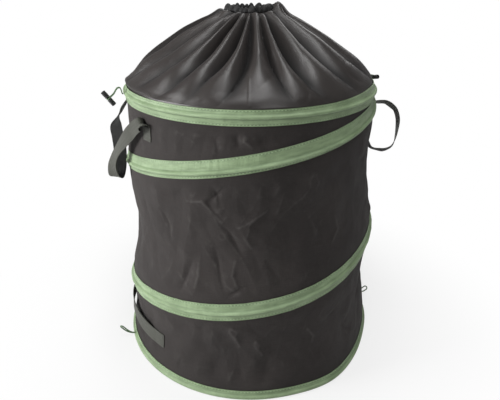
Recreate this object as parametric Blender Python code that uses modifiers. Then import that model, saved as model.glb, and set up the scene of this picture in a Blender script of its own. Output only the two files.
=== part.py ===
"""A pop up leaf bag: a fabric drum on one spiral spring wire, with a gathered drawcord skirt.

Metres, +Z up, standing on z = 0 about the Z axis. The front, where the bands show lowest, faces -Y.
Turns are counted clockwise seen from above, from +X, so that a rising turn runs down the spiral.
"""

import math

import bmesh
import bpy
from mathutils import Matrix, Vector

# Driving dimensions
RING_RADIUS = 0.250
RING_HEIGHT = 0.512
WIRE_DIAMETER = 0.003
CLEARANCE = 0.0003
WIRE_DIP = 0.009
WALL_THICKNESS = 0.0008
WALL_SAG = 0.009
BASE_THICKNESS = 0.0008
TAPE_WIDTH = 0.031
TAPE_THICKNESS = 0.001
UPPER_TAPE_SHIFT = 0.0075
LOWER_TAPE_SHIFT = 0.0025
TOP_TAPE_RISE = 0.013
TOP_TAPE_LEAN = 0.002
BOTTOM_TAPE_HEIGHT = 0.015
BOTTOM_TAPE_UNDERLAP = 0.014
FERRULE_LENGTH = 0.010
FERRULE_WALL = 0.0006
MOUTH_RADIUS = 0.044
MOUTH_RISE = 0.148
SKIRT_THICKNESS = 0.0006
PLEAT_DEPTH = 0.018
HEM_DEPTH = 0.012
HEM_THICKNESS = 0.0008
HEM_SCALLOP = 0.0035
DRAWCORD_DIAMETER = 0.004
WEBBING_WIDTH = 0.025
WEBBING_THICKNESS = 0.0014
SEWN_END_LENGTH = 0.026
SEWN_END_DROP = 0.0675
HANDLE_REACH = 0.041
HANDLE_DROP = 0.143
LOWER_HANDLE_HEIGHT = 0.062
LOWER_HANDLE_REACH = 0.006
TOGGLE_LENGTH = 0.034
TOGGLE_RADIUS = 0.004
TOGGLE_GROOVE_RADIUS = 0.0022
TOGGLE_RIB_DEPTH = 0.0007
TOGGLE_CORD_DIAMETER = 0.002
TOGGLE_CORD_REACH = 0.031
ELASTIC_DIAMETER = 0.0024
ELASTIC_HALF_WIDTH = 0.0038
ELASTIC_REACH = 0.030
ELASTIC_HEIGHT = 0.0065
HANDLE_HINGE_RISE = 0.008
CORD_HINGE_RISE = 0.002

# Counts and shares
SEGMENTS = 48
WALL_ROWS = 14
PLEATS = 16
COLUMNS_PER_PLEAT = 4
SKIRT_ROWS = 8
SPIRAL_START_SHARE = -34 / 360
SPIRAL_TURNS_SHARE = 2.035
SPIRAL_EASE_SHARE = 60 / 360
DIP_START_SHARE = 1.02
DIP_SPAN_SHARE = 0.38
SKIRT_RADIUS_SHARES = (1.0, 0.955, 0.835, 0.645, 0.41, 0.185, 0.02)
SKIRT_HEIGHT_SHARES = (0.0, 0.13, 0.345, 0.55, 0.785, 0.96, 1.0)
PLEAT_DEPTH_SHARES = (0.0, 0.30, 0.62, 0.90, 1.0, 0.72, 0.30)
LEFT_TURN_SHARE = 160 / 360
RIGHT_HANDLE_TURN_SHARE = -28 / 360
RIGHT_TOGGLE_TURN_SHARE = -12 / 360
HANDLE_SPREAD_SHARE = 22 / 360
LOWER_HANDLE_SPREAD_SHARE = 29 / 360

# Handle routes: place between the sewn ends, standoff, drop, then the webbing's width direction
# as outward, sideways and upward parts. The places and the standoffs are shares of the spread,
# the reach and the drop.
LEFT_HANDLE_SHARES = (
    (-1.00, 0.03, 0.00, (0, 1, 0)),
    (-1.00, 0.045, -0.025, (0, 1, 0)),
    (-1.00, 0.19, -0.042, (0, 1, 0)),
    (-0.94, 0.28, -0.03, (0.12, 0.9, 0.3)),
    (-0.80, 0.30, 0.03, (0.33, 0.6, 0.6)),
    (-0.58, 0.32, 0.14, (0.45, 0.5, 0.75)),
    (-0.38, 0.45, 0.275, (0.45, 0.45, 0.8)),
    (-0.22, 0.63, 0.41, (0.35, 0.7, 0.6)),
    (-0.11, 0.79, 0.55, (0.15, 0.95, 0.2)),
    (-0.05, 0.87, 0.69, (0.3, 0.95, 0)),
    (0.01, 0.80, 0.83, (0.5, 0.86, 0)),
    (0.06, 0.62, 0.865, (0.5, 0.86, 0)),
    (0.11, 0.52, 0.79, (0.5, 0.86, 0)),
    (0.20, 0.46, 0.67, (0.5, 0.86, 0)),
    (0.36, 0.46, 0.53, (0.5, 0.86, 0)),
    (0.52, 0.57, 0.39, (0.55, 0.8, -0.2)),
    (0.62, 0.66, 0.28, (0.55, 0.6, -0.5)),
    (0.70, 0.62, 0.18, (0.4, 0.5, -0.7)),
    (0.80, 0.48, 0.10, (0.25, 0.7, -0.6)),
    (0.91, 0.32, 0.02, (0.1, 0.9, -0.3)),
    (1.00, 0.17, -0.042, (0, 1, 0)),
    (1.00, 0.045, -0.025, (0, 1, 0)),
    (1.00, 0.03, 0.00, (0, 1, 0)),
)
RIGHT_HANDLE_SHARES = (
    (-1.00, 0.03, 0.00, (0, 1, 0)),
    (-1.00, 0.045, -0.025, (0, 1, 0)),
    (-1.00, 0.17, -0.042, (0, 1, 0)),
    (-0.94, 0.33, -0.035, (0.1, 0.9, 0.2)),
    (-0.75, 0.45, 0.01, (0.3, 0.7, 0.6)),
    (-0.30, 0.60, 0.08, (0.5, 0.5, 0.65)),
    (0.15, 0.72, 0.125, (0.6, 0.5, 0.6)),
    (0.50, 0.83, 0.13, (0.7, 0.6, 0.4)),
    (0.70, 0.95, 0.10, (0.72, 0.65, 0.25)),
    (0.78, 1.08, 0.085, (0.6, 0.75, 0.2)),
    (0.84, 1.28, 0.09, (0.3, 0.9, 0.2)),
    (0.89, 1.47, 0.125, (0.1, 1, 0.1)),
    (0.94, 1.64, 0.185, (0, 1, 0)),
    (0.98, 1.73, 0.31, (0, 1, 0)),
    (1.01, 1.68, 0.45, (0, 1, 0)),
    (1.03, 1.59, 0.58, (0, 1, 0)),
    (1.04, 1.46, 0.69, (0, 1, 0)),
    (1.05, 1.22, 0.745, (0, 1, 0)),
    (1.05, 0.85, 0.775, (0, 1, 0)),
    (1.04, 0.50, 0.74, (0, 1, 0)),
    (1.02, 0.38, 0.60, (0, 1, 0)),
    (1.00, 0.36, 0.40, (0, 1, 0)),
    (1.00, 0.35, 0.20, (0, 1, 0)),
    (1.00, 0.29, 0.03, (0, 1, 0)),
    (1.00, 0.17, -0.042, (0, 1, 0)),
    (1.00, 0.045, -0.025, (0, 1, 0)),
    (1.00, 0.03, 0.00, (0, 1, 0)),
)
HANDLE_STATIONS = 60

# Routes of the cords out of the tapes, as outward and upward shares of their reach
LEFT_CORD_SHARES = ((0, 0), (0.06, 0.03), (0.16, 0.35), (0.36, 0.34), (0.57, 0.02), (0.87, -0.23))
RIGHT_CORD_SHARES = ((0, 0), (0.06, 0.03), (0.17, 0.24), (0.42, 0.30), (0.72, 0.08))
LEFT_ELASTIC_SHARES = ((0, 0), (0.22, 0.08), (0.48, 0.28), (0.78, 0.62))
RIGHT_ELASTIC_SHARES = ((0, 0), (0.2, 0.02), (0.45, 0.09), (0.68, 0.22))

# Sizes that follow from those above
WIRE_RADIUS = WIRE_DIAMETER / 2
BOTTOM_WIRE_HEIGHT = TAPE_THICKNESS + 4 * CLEARANCE + FERRULE_WALL + WIRE_RADIUS
SPIRAL_PITCH = (RING_HEIGHT - BOTTOM_WIRE_HEIGHT) / SPIRAL_TURNS_SHARE
SPIRAL_END_SHARE = SPIRAL_START_SHARE + SPIRAL_TURNS_SHARE
COIL_WALL_RADIUS = RING_RADIUS - WIRE_RADIUS - 2 * CLEARANCE - FERRULE_WALL
COIL_TAPE_RADIUS = RING_RADIUS + WIRE_RADIUS + 2 * CLEARANCE
FACET_DEPTH = RING_RADIUS * (1 - math.cos(math.pi / SEGMENTS))
TOP_TAPE_TOP = RING_HEIGHT + TOP_TAPE_RISE
TOP_TAPE_FOOT = RING_HEIGHT - TAPE_WIDTH / 2
WALL_TOP = RING_HEIGHT + WIRE_DIAMETER
SEWN_END_HEIGHT = RING_HEIGHT - SEWN_END_DROP
BASE_EDGE_HEIGHT = TAPE_THICKNESS + CLEARANCE
WALL_FOOT = BASE_EDGE_HEIGHT + BASE_THICKNESS + CLEARANCE
MOUTH_HEIGHT = RING_HEIGHT + MOUTH_RISE
TAPE_RIDGE = 0.75 * WIRE_DIAMETER
TAPE_SHOULDER = 2.2 * WIRE_DIAMETER


def turn_point(turn, radius, height):
    """The point at a turn, a radius and a height."""
    angle = -math.tau * turn
    return Vector((radius * math.cos(angle), radius * math.sin(angle), height))


def outward(turn):
    return turn_point(turn, 1, 0)


def sideways(turn):
    """The unit vector along the rim, towards rising turns."""
    return turn_point(turn + 0.25, 1, 0)


def lerp(a, b, share):
    return a + (b - a) * share


def smooth_list(values, share):
    """A smooth curve through evenly spaced values, read at a share of its length."""
    last = len(values) - 1
    place = min(max(share, 0), 1) * last
    i = min(int(place), last - 1)
    t = place - i
    before = values[max(i - 1, 0)]
    a = values[i]
    b = values[i + 1]
    after = values[min(i + 2, last)]
    slope_a = (b - before) * 0.5
    slope_b = (after - a) * 0.5
    return (
        a * (2 * t**3 - 3 * t**2 + 1)
        + slope_a * (t**3 - 2 * t**2 + t)
        + b * (3 * t**2 - 2 * t**3)
        + slope_b * (t**3 - t**2)
    )


# The spring wire's course


def eased_ramp(x):
    """Zero before the start, a straight slope of one after it, and a parabola between."""
    half = SPIRAL_EASE_SHARE / 2
    if x < -half:
        return 0.0
    if x < half:
        return (x + half) ** 2 / (2 * SPIRAL_EASE_SHARE)
    return x


def wire_height(turn):
    """Height of the wire at a turn: the top coil, the spiral, then the bottom coil."""
    run = eased_ramp(turn - SPIRAL_START_SHARE) - eased_ramp(turn - SPIRAL_END_SHARE)
    dip = min(max((turn - DIP_START_SHARE) / DIP_SPAN_SHARE, 0), 1)
    return RING_HEIGHT - SPIRAL_PITCH * run - WIRE_DIP * math.sin(math.pi * dip) ** 2


def crossing_share():
    """How far into its ease the spiral is one wire clear of the coil that it leaves."""
    drop = WIRE_DIAMETER + 2 * CLEARANCE
    return math.sqrt(2 * SPIRAL_EASE_SHARE * drop / SPIRAL_PITCH) - SPIRAL_EASE_SHARE / 2


def middle_of_segment(turn):
    return (math.floor(turn * SEGMENTS) + 0.5) / SEGMENTS


UPPER_FERRULE_TURN = middle_of_segment(SPIRAL_START_SHARE + crossing_share())
LOWER_FERRULE_TURN = middle_of_segment(SPIRAL_END_SHARE - crossing_share())
WIRE_START = UPPER_FERRULE_TURN - 1
WIRE_END = LOWER_FERRULE_TURN + 1


def wire_heights_at(turn):
    """The heights at which the wire passes a place on the rim, lowest first."""
    first = math.ceil(WIRE_START - turn)
    heights = []
    while turn + first <= WIRE_END:
        heights.append(wire_height(turn + first))
        first += 1
    return sorted(heights)


# The wall's surface


def true_wall_radius(turn, height):
    """Outside radius of the wall, drawn in between the coils that hold it out."""
    heights = wire_heights_at(turn)
    above = [h for h in heights if h > height]
    below = [h for h in heights if h <= height]
    if not above:
        lean = (height - RING_HEIGHT) / TOP_TAPE_RISE
        return COIL_WALL_RADIUS - TOP_TAPE_LEAN * lean
    if not below:
        return COIL_WALL_RADIUS
    span = above[0] - below[-1]
    share = (height - below[-1]) / span
    depth = WALL_SAG * min(1, span / SPIRAL_PITCH)
    return COIL_WALL_RADIUS - depth * math.sin(math.pi * share) ** 2


def wall_row_height(row):
    return lerp(WALL_FOOT, WALL_TOP, row / WALL_ROWS)


def wall_radius(turn, height):
    """Outside radius of the wall as its rows make it, straight from one row to the next."""
    place = (height - WALL_FOOT) / (WALL_TOP - WALL_FOOT) * WALL_ROWS
    if place >= WALL_ROWS:
        return true_wall_radius(turn, height)
    row = max(int(place), 0)
    low = true_wall_radius(turn, wall_row_height(row))
    high = true_wall_radius(turn, wall_row_height(row + 1))
    return lerp(low, high, place - row)


# Making objects


def material(name, colour, roughness, metallic=0.0):
    made = bpy.data.materials.new(name)
    made.use_nodes = True
    shader = made.node_tree.nodes["Principled BSDF"]
    shader.inputs["Base Color"].default_value = (*colour, 1)
    shader.inputs["Roughness"].default_value = roughness
    shader.inputs["Metallic"].default_value = metallic
    return made


def mesh_object(name, bm, finish, smooth=True):
    mesh = bpy.data.meshes.new(name)
    bm.to_mesh(mesh)
    bm.free()
    obj = bpy.data.objects.new(name, mesh)
    parts.objects.link(obj)
    mesh.materials.append(finish)
    if smooth:
        mesh.shade_smooth()
        mesh.set_sharp_from_angle(angle=math.radians(40))
    return obj


def loft(name, sections, finish, closed):
    """One closed solid through sections of equally many points. A closed loft joins its ends.

    A section's first half is one side of a thin strip and its second half the other side, back
    again. Both sides are cut along the same diagonals, so that a thin cloth's sides never cross.
    """
    bm = bmesh.new()
    rings = [[bm.verts.new(point) for point in section] for section in sections]
    following = rings[1:] + rings[:1] if closed else rings[1:]
    for ring, after in zip(rings, following):
        for i in range(len(ring)):
            near, here, there, far = ring[i - 1], ring[i], after[i], after[i - 1]
            if 0 < i < len(ring) / 2:
                bm.faces.new((near, here, there))
                bm.faces.new((near, there, far))
            else:
                bm.faces.new((near, here, far))
                bm.faces.new((here, there, far))
    if not closed:
        bm.faces.new(rings[0])
        bm.faces.new(rings[-1])
    bmesh.ops.recalc_face_normals(bm, faces=bm.faces)
    return mesh_object(name, bm, finish)


def strip_section(turn, inner, outer):
    """A section of a sewn strip: its inside face upwards, then its outside face down."""
    points = [turn_point(turn, radius, height) for radius, height in inner]
    points += [turn_point(turn, radius, height) for radius, height in reversed(outer)]
    return points


def tube(name, points, radius, finish, cyclic=False, resolution=2):
    """A round cord or wire through points."""
    curve = bpy.data.curves.new(name, "CURVE")
    curve.dimensions = "3D"
    curve.bevel_depth = radius
    curve.bevel_resolution = resolution
    curve.use_fill_caps = True
    spline = curve.splines.new("POLY")
    spline.points.add(len(points) - 1)
    for place, point in zip(spline.points, points):
        place.co = (*point, 1)
    spline.use_cyclic_u = cyclic
    curve.materials.append(finish)
    obj = bpy.data.objects.new(name, curve)
    parts.objects.link(obj)
    return obj


def turned(name, profile, steps, finish):
    """A solid turned about its own Z axis from a profile of (radius, height)."""
    mesh = bpy.data.meshes.new(name)
    edges = [(i, i + 1) for i in range(len(profile) - 1)]
    mesh.from_pydata([(radius, 0, height) for radius, height in profile], edges, [])
    mesh.materials.append(finish)
    obj = bpy.data.objects.new(name, mesh)
    parts.objects.link(obj)
    screw = obj.modifiers.new("Turn", "SCREW")
    screw.axis = "Z"
    screw.steps = steps
    screw.render_steps = steps
    screw.use_merge_vertices = True
    screw.merge_threshold = 0.00001
    screw.use_smooth_shade = True
    return obj


def pivot(name, place, children):
    """An empty on the axis of a joint, which carries the pieces that the joint moves."""
    empty = bpy.data.objects.new(name, None)
    empty.empty_display_size = RING_RADIUS / 8
    empty.location = place
    parts.objects.link(empty)
    for child in children:
        child.parent = empty
        child.matrix_parent_inverse = Matrix.Translation(place).inverted()
    return empty


# Base and wall


def make_base_panel():
    """A round panel: flat on the ground, then lifted over the binding's lower leg."""
    leg_start = RING_RADIUS - BOTTOM_TAPE_UNDERLAP
    flat = leg_start - 2 * BASE_EDGE_HEIGHT
    rise = leg_start - CLEARANCE
    edge = COIL_WALL_RADIUS
    profile = (
        (0, BASE_THICKNESS),
        (flat, BASE_THICKNESS),
        (rise, BASE_EDGE_HEIGHT + BASE_THICKNESS),
        (edge, BASE_EDGE_HEIGHT + BASE_THICKNESS),
        (edge, BASE_EDGE_HEIGHT),
        (rise, BASE_EDGE_HEIGHT),
        (flat, 0),
        (0, 0),
    )
    return turned("base_panel", profile, SEGMENTS, wall_cloth)


def make_wall():
    sections = []
    for i in range(SEGMENTS):
        turn = i / SEGMENTS
        outer = []
        inner = []
        for row in range(WALL_ROWS + 1):
            height = wall_row_height(row)
            radius = true_wall_radius(turn, height)
            outer.append((radius, height))
            inner.append((radius - WALL_THICKNESS, height))
        sections.append(strip_section(turn, inner, outer))
    return loft("wall_fabric", sections, wall_cloth, closed=True)


# Wire and ferrules


def make_spring_wire():
    """One unbroken wire: a top coil, the spiral and a bottom coil."""
    turns = [WIRE_START]
    turns += [i / SEGMENTS for i in range(math.ceil(WIRE_START * SEGMENTS), math.ceil(WIRE_END * SEGMENTS))]
    turns.append(WIRE_END)
    facet = math.cos(math.pi / SEGMENTS)
    points = []
    for turn in turns:
        at_end = turn in (WIRE_START, WIRE_END)
        points.append(turn_point(turn, RING_RADIUS * (facet if at_end else 1), wire_height(turn)))
    return tube("spring_wire", points, WIRE_RADIUS, spring_steel, resolution=1)


def least_wire_gap():
    """The least height between two passes of the wire, less the wire itself."""
    gaps = []
    for i in range(SEGMENTS):
        heights = wire_heights_at(i / SEGMENTS)
        gaps += [b - a - WIRE_DIAMETER for a, b in zip(heights, heights[1:])]
    return min(gaps)


def stadium(half_height, half_width, steps):
    """An outline with round ends: points of (across, up)."""
    straight = half_height - half_width
    points = []
    for end in (1, -1):
        for i in range(steps + 1):
            angle = math.pi * i / steps
            across = half_width * math.cos(angle)
            up = straight + half_width * math.sin(angle)
            points.append((end * across, end * up))
    return points


def make_ferrule(name, turn, coil_height):
    """A flat crimp sleeve that holds the wire's end beside the pass next to it."""
    other = wire_height(turn)
    middle = (coil_height + other) / 2
    half_height = abs(coil_height - other) / 2 + WIRE_RADIUS + 3 * CLEARANCE
    half_width = WIRE_RADIUS + CLEARANCE
    bm = bmesh.new()
    inner = stadium(half_height, half_width, 5)
    outer = stadium(half_height + FERRULE_WALL, half_width + FERRULE_WALL, 5)
    centre = turn_point(turn, RING_RADIUS * math.cos(math.pi / SEGMENTS), middle)
    loops = []
    for end in (-0.5, 0.5):
        for outline in (inner, outer):
            origin = centre + sideways(turn) * (end * FERRULE_LENGTH)
            loops.append([bm.verts.new(origin + outward(turn) * a + Vector((0, 0, b))) for a, b in outline])
    near_inner, near_outer, far_inner, far_outer = loops
    for first, second in (
        (near_inner, near_outer),
        (near_outer, far_outer),
        (far_outer, far_inner),
        (far_inner, near_inner),
    ):
        for i in range(len(first)):
            bm.faces.new((first[i - 1], first[i], second[i], second[i - 1]))
    bmesh.ops.recalc_face_normals(bm, faces=bm.faces)
    return mesh_object(name, bm, spring_steel)


# Casing tapes


def ridge_radius(turn, ferrule_turn):
    """Inside radius of a tape where it lies over the wire, or over the wire's ferrule."""
    away = abs((turn - ferrule_turn + 0.5) % 1 - 0.5)
    if away < 1.6 / SEGMENTS:
        return COIL_TAPE_RADIUS + FERRULE_WALL + CLEARANCE
    return COIL_TAPE_RADIUS


def tape_radius(turn, height, own_height, own_reach, ridge):
    """Inside radius of a casing tape: against the wall, and lifted over each pass of the wire."""
    fall = TAPE_SHOULDER - TAPE_RIDGE
    lift = 0.0
    for wire in wire_heights_at(turn):
        reach = own_reach if abs(wire - own_height) < CLEARANCE else TAPE_SHOULDER + TAPE_RIDGE
        lift = max(lift, min(1.0, (reach + fall - abs(height - wire)) / fall))
    seat = wall_radius(turn, height) + 2 * CLEARANCE
    return lerp(seat, ridge, lift)


def tape_section(turn, heights, own_height, own_reach, ridge):
    inner = [(tape_radius(turn, h, own_height, own_reach, ridge), h) for h in heights]
    outer = [(radius + TAPE_THICKNESS, height) for radius, height in inner]
    return strip_section(turn, inner, outer)


def make_top_tape():
    foot = -TAPE_WIDTH / 2
    low = -TAPE_SHOULDER - TAPE_RIDGE
    rows = (foot, low, -TAPE_SHOULDER, -TAPE_RIDGE, TAPE_RIDGE, TAPE_SHOULDER, TOP_TAPE_RISE)
    sections = []
    for i in range(SEGMENTS):
        turn = i / SEGMENTS
        heights = [RING_HEIGHT + row for row in rows]
        ridge = ridge_radius(turn, UPPER_FERRULE_TURN)
        sections.append(tape_section(turn, heights, RING_HEIGHT, TAPE_RIDGE, ridge))
    return loft("top_tape", sections, casing_tape, closed=True)


def spiral_tape_span(turn):
    """Lower and upper edge of the spiral tape, cut to clear the top and bottom tapes."""
    middle = wire_height(turn) + lerp(UPPER_TAPE_SHIFT, LOWER_TAPE_SHIFT, min(max(turn, 0), 1))
    low = max(middle - TAPE_WIDTH / 2, BOTTOM_TAPE_HEIGHT + CLEARANCE)
    high = min(middle + TAPE_WIDTH / 2, TOP_TAPE_FOOT - CLEARANCE)
    return low, high


def make_spiral_tape():
    rows = (-TAPE_WIDTH, -TAPE_SHOULDER, -TAPE_RIDGE, TAPE_RIDGE, TAPE_SHOULDER, TAPE_WIDTH)
    least = TAPE_WIDTH / 3
    apart = TAPE_THICKNESS
    sections = []
    for i in range(math.ceil(WIRE_START * SEGMENTS), math.floor(WIRE_END * SEGMENTS)):
        turn = i / SEGMENTS
        low, high = spiral_tape_span(turn)
        if high - low < least:
            continue
        middle = wire_height(turn)
        heights = []
        for k, row in enumerate(rows):
            lowest = low + k * apart
            highest = high - (len(rows) - 1 - k) * apart
            heights.append(min(max(middle + row, lowest), highest))
        whole = high - low > TAPE_WIDTH - CLEARANCE
        reach = TAPE_RIDGE if whole else TAPE_SHOULDER
        sections.append(tape_section(turn, heights, middle, reach, COIL_TAPE_RADIUS))
    return loft("spiral_tape", sections, casing_tape, closed=False)


def make_bottom_tape():
    """The binding of the lower edge: it wraps the bottom coil and runs on under the base."""
    sections = []
    for i in range(SEGMENTS):
        turn = i / SEGMENTS
        heights = (BOTTOM_WIRE_HEIGHT + TAPE_RIDGE, BOTTOM_WIRE_HEIGHT + TAPE_SHOULDER, BOTTOM_TAPE_HEIGHT)
        bulge = ridge_radius(turn, LOWER_FERRULE_TURN)
        side = [(tape_radius(turn, h, BOTTOM_WIRE_HEIGHT, TAPE_RIDGE, bulge), h) for h in heights]
        foot = RING_RADIUS - BOTTOM_TAPE_UNDERLAP
        corner = TAPE_THICKNESS + WIRE_RADIUS / 2
        inner = [(foot, TAPE_THICKNESS), (bulge - WIRE_RADIUS / 2, TAPE_THICKNESS), (bulge, corner)] + side
        outer = [(foot, 0), (bulge, 0), (bulge + TAPE_THICKNESS, corner)]
        outer += [(radius + TAPE_THICKNESS, height) for radius, height in side]
        sections.append(strip_section(turn, inner, outer))
    return loft("bottom_tape", sections, casing_tape, closed=True)


# Skirt, hem and drawcord


SKIRT_COLUMNS = PLEATS * COLUMNS_PER_PLEAT
SKIRT_FOOT = WALL_TOP + CLEARANCE
HEM_HALF_GAP = DRAWCORD_DIAMETER / 2 + 2 * CLEARANCE
HEM_TOP = MOUTH_HEIGHT + HEM_DEPTH
SKIRT_TOP = MOUTH_HEIGHT - CLEARANCE


def pleat_wave(turn):
    """Round ridges and sharp valleys, from -1 in a valley to 1 on a ridge."""
    return 2 * abs(math.sin(math.pi * turn * PLEATS)) - 1


def scallop(turn):
    """The hem's gathers, from nought to one, in step with the pleats."""
    return (1 + pleat_wave(turn)) / 2


def skirt_row(turn, share):
    """Radius and height of the skirt's outside at a share of its length from tape to hem."""
    foot = COIL_WALL_RADIUS - TOP_TAPE_LEAN - FACET_DEPTH
    neck = MOUTH_RADIUS + HEM_HALF_GAP + HEM_THICKNESS
    radius = lerp(neck, foot, smooth_list(SKIRT_RADIUS_SHARES, share))
    height = lerp(TOP_TAPE_TOP, SKIRT_TOP, smooth_list(SKIRT_HEIGHT_SHARES, share))
    depth = PLEAT_DEPTH * smooth_list(PLEAT_DEPTH_SHARES, share) * (pleat_wave(turn) - 1) / 2
    return radius + depth * 0.55, height + depth * 0.8 * (1 - share**4)


def make_skirt():
    """The gathered cone of thin cloth between the top coil and the drawcord."""
    sections = []
    for i in range(SKIRT_COLUMNS):
        turn = i / SKIRT_COLUMNS
        outer = [(COIL_WALL_RADIUS - FACET_DEPTH - TOP_TAPE_LEAN / 2, SKIRT_FOOT)]
        outer += [skirt_row(turn, row / SKIRT_ROWS) for row in range(SKIRT_ROWS)]
        lip = MOUTH_RADIUS + HEM_HALF_GAP + HEM_THICKNESS + HEM_SCALLOP * scallop(turn)
        outer.append((lip, SKIRT_TOP))
        inner = []
        for row, (radius, height) in enumerate(outer):
            before = outer[max(row - 1, 0)]
            after = outer[min(row + 1, len(outer) - 1)]
            along = math.hypot(after[0] - before[0], after[1] - before[1])
            step_in = SKIRT_THICKNESS * (after[1] - before[1]) / along
            step_down = SKIRT_THICKNESS * (before[0] - after[0]) / along
            if row in (0, len(outer) - 1):
                step_in = SKIRT_THICKNESS
                step_down = 0
            inner.append((radius - step_in, height - step_down))
        sections.append(strip_section(turn, inner, outer))
    return loft("skirt", sections, skirt_cloth, closed=True)


def make_hem():
    """The drawcord's casing: a folded strip, open below, that gathers into scallops."""
    sections = []
    for i in range(SKIRT_COLUMNS):
        turn = i / SKIRT_COLUMNS
        swell = HEM_SCALLOP * scallop(turn)
        near = MOUTH_RADIUS - HEM_HALF_GAP
        far = MOUTH_RADIUS + HEM_HALF_GAP
        shoulder = HEM_TOP - DRAWCORD_DIAMETER / 2 - HEM_THICKNESS
        inner = [
            (near - swell / 2, MOUTH_HEIGHT),
            (near, shoulder),
            (near + HEM_HALF_GAP / 2, HEM_TOP - HEM_THICKNESS + swell / 2),
            (far - HEM_HALF_GAP / 2, HEM_TOP - HEM_THICKNESS + swell / 2),
            (far, shoulder),
            (far + swell, MOUTH_HEIGHT),
        ]
        outer = [
            (near - swell / 2 - HEM_THICKNESS, MOUTH_HEIGHT),
            (near - HEM_THICKNESS, shoulder),
            (near, HEM_TOP + swell / 2),
            (far, HEM_TOP + swell / 2),
            (far + HEM_THICKNESS, shoulder),
            (far + swell + HEM_THICKNESS, MOUTH_HEIGHT),
        ]
        sections.append(strip_section(turn, inner, outer))
    return loft("mouth_hem", sections, hem_cloth, closed=True)


def make_drawcord():
    height = HEM_TOP - HEM_THICKNESS - CLEARANCE - DRAWCORD_DIAMETER / 2
    points = [turn_point(i / SEGMENTS, MOUTH_RADIUS, height) for i in range(SEGMENTS)]
    return tube("drawcord", points, DRAWCORD_DIAMETER / 2, black_cord, cyclic=True)


# Webbing handles


def make_sewn_end(name, turn):
    """The end of a handle, sewn flat on the wall with its length upright."""
    half_turn = WEBBING_WIDTH / 2 / (math.tau * RING_RADIUS)
    sections = []
    for i in range(5):
        here = lerp(turn - half_turn, turn + half_turn, i / 4)
        heights = [SEWN_END_HEIGHT + SEWN_END_LENGTH * row / 3 for row in range(4)]
        inner = [(wall_radius(here, h) + CLEARANCE, h) for h in heights]
        outer = [(radius + WEBBING_THICKNESS, height) for radius, height in inner]
        sections.append(strip_section(here, inner, outer))
    return loft(name, sections, webbing, closed=False)


def webbing_section(middle, along, width):
    """The four corners of the webbing about a point of its route."""
    across = (width - along * width.dot(along)).normalized() * (WEBBING_WIDTH / 2)
    through = along.cross(across).normalized() * (WEBBING_THICKNESS / 2)
    return [
        middle + across + through,
        middle - across + through,
        middle - across - through,
        middle + across - through,
    ]


def make_strap(name, middles, widths, stations):
    """Webbing along a smooth route, turned to a smooth run of width directions."""
    points = [smooth_list(middles, i / stations) for i in range(stations + 1)]
    sections = []
    for i, point in enumerate(points):
        along = (points[min(i + 1, stations)] - points[max(i - 1, 0)]).normalized()
        sections.append(webbing_section(point, along, smooth_list(widths, i / stations)))
    return loft(name, sections, webbing, closed=False)


def handle_route(turn, shares):
    """The middles and width directions of an upper handle about its turn."""
    seam = SEWN_END_HEIGHT + SEWN_END_LENGTH + 2 * CLEARANCE
    middles = []
    widths = []
    for place, standoff, drop, (w_out, w_side, w_up) in shares:
        here = turn + HANDLE_SPREAD_SHARE * place
        height = seam - HANDLE_DROP * drop
        radius = wall_radius(here, seam) + CLEARANCE + WEBBING_THICKNESS / 2
        middles.append(turn_point(here, radius + HANDLE_REACH * standoff, height))
        widths.append(outward(here) * w_out + sideways(here) * w_side + Vector((0, 0, w_up)))
    return middles, widths


def make_handle(side_name, turn, shares):
    """The strap of an upper handle and the pivot between its seams, about which it swings."""
    middles, widths = handle_route(turn, shares)
    strap = make_strap(side_name + "_handle", middles, widths, HANDLE_STATIONS)
    hinge = (middles[0] + middles[-1]) / 2
    hinge.z = SEWN_END_HEIGHT + SEWN_END_LENGTH + HANDLE_HINGE_RISE
    return pivot(side_name + "_handle_swing", hinge, [strap])


def make_lower_handle(turn):
    """A short strap laid round the foot of the wall, sewn at both ends and proud between."""
    stations = 24
    sewn_share = SEWN_END_LENGTH / (math.tau * RING_RADIUS) / LOWER_HANDLE_SPREAD_SHARE
    sections = []
    for i in range(stations + 1):
        place = lerp(-1, 1, i / stations)
        here = turn + LOWER_HANDLE_SPREAD_SHARE * place
        free = max(0.0, (1 - sewn_share - abs(place)) / (1 - sewn_share))
        standoff = LOWER_HANDLE_REACH * math.sin(math.pi / 2 * free) ** 0.8
        lift = WEBBING_WIDTH / 4 * free
        heights = [LOWER_HANDLE_HEIGHT + lift + WEBBING_WIDTH * (row / 2 - 0.5) for row in range(3)]
        inner = [(wall_radius(here, h) + CLEARANCE + standoff, h) for h in heights]
        outer = [(radius + WEBBING_THICKNESS, height) for radius, height in inner]
        sections.append(strip_section(here, inner, outer))
    return loft("lower_handle", sections, webbing, closed=False)


# Toggles and elastic loops


def hairpin(route, side, start_half, end_half):
    """A doubled cord along a route: out on one side, round the end and back on the other."""
    count = len(route)
    out_leg = []
    back_leg = []
    for i, point in enumerate(route):
        half = lerp(start_half, end_half, min(1, 1.3 * i / (count - 1)))
        step = (route[min(i + 1, count - 1)] - route[max(i - 1, 0)]).normalized()
        across = (side - step * side.dot(step)).normalized() * half
        out_leg.append(point + across)
        back_leg.append(point - across)
    ahead = (route[-1] - route[-2]).normalized()
    bend = []
    for i in range(1, 8):
        angle = math.pi * i / 8
        bend.append(route[-1] + side * (end_half * math.cos(angle)) + ahead * (end_half * math.sin(angle)))
    return out_leg + bend + back_leg[::-1]


def cord_route(turn, start_radius, start_height, out_and_up, steps):
    """A smooth route in the upright plane through a turn, from (out, up) steps off its start."""
    through = [turn_point(turn, start_radius + out, start_height + up) for out, up in out_and_up]
    return [smooth_list(through, i / steps) for i in range(steps + 1)]


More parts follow.
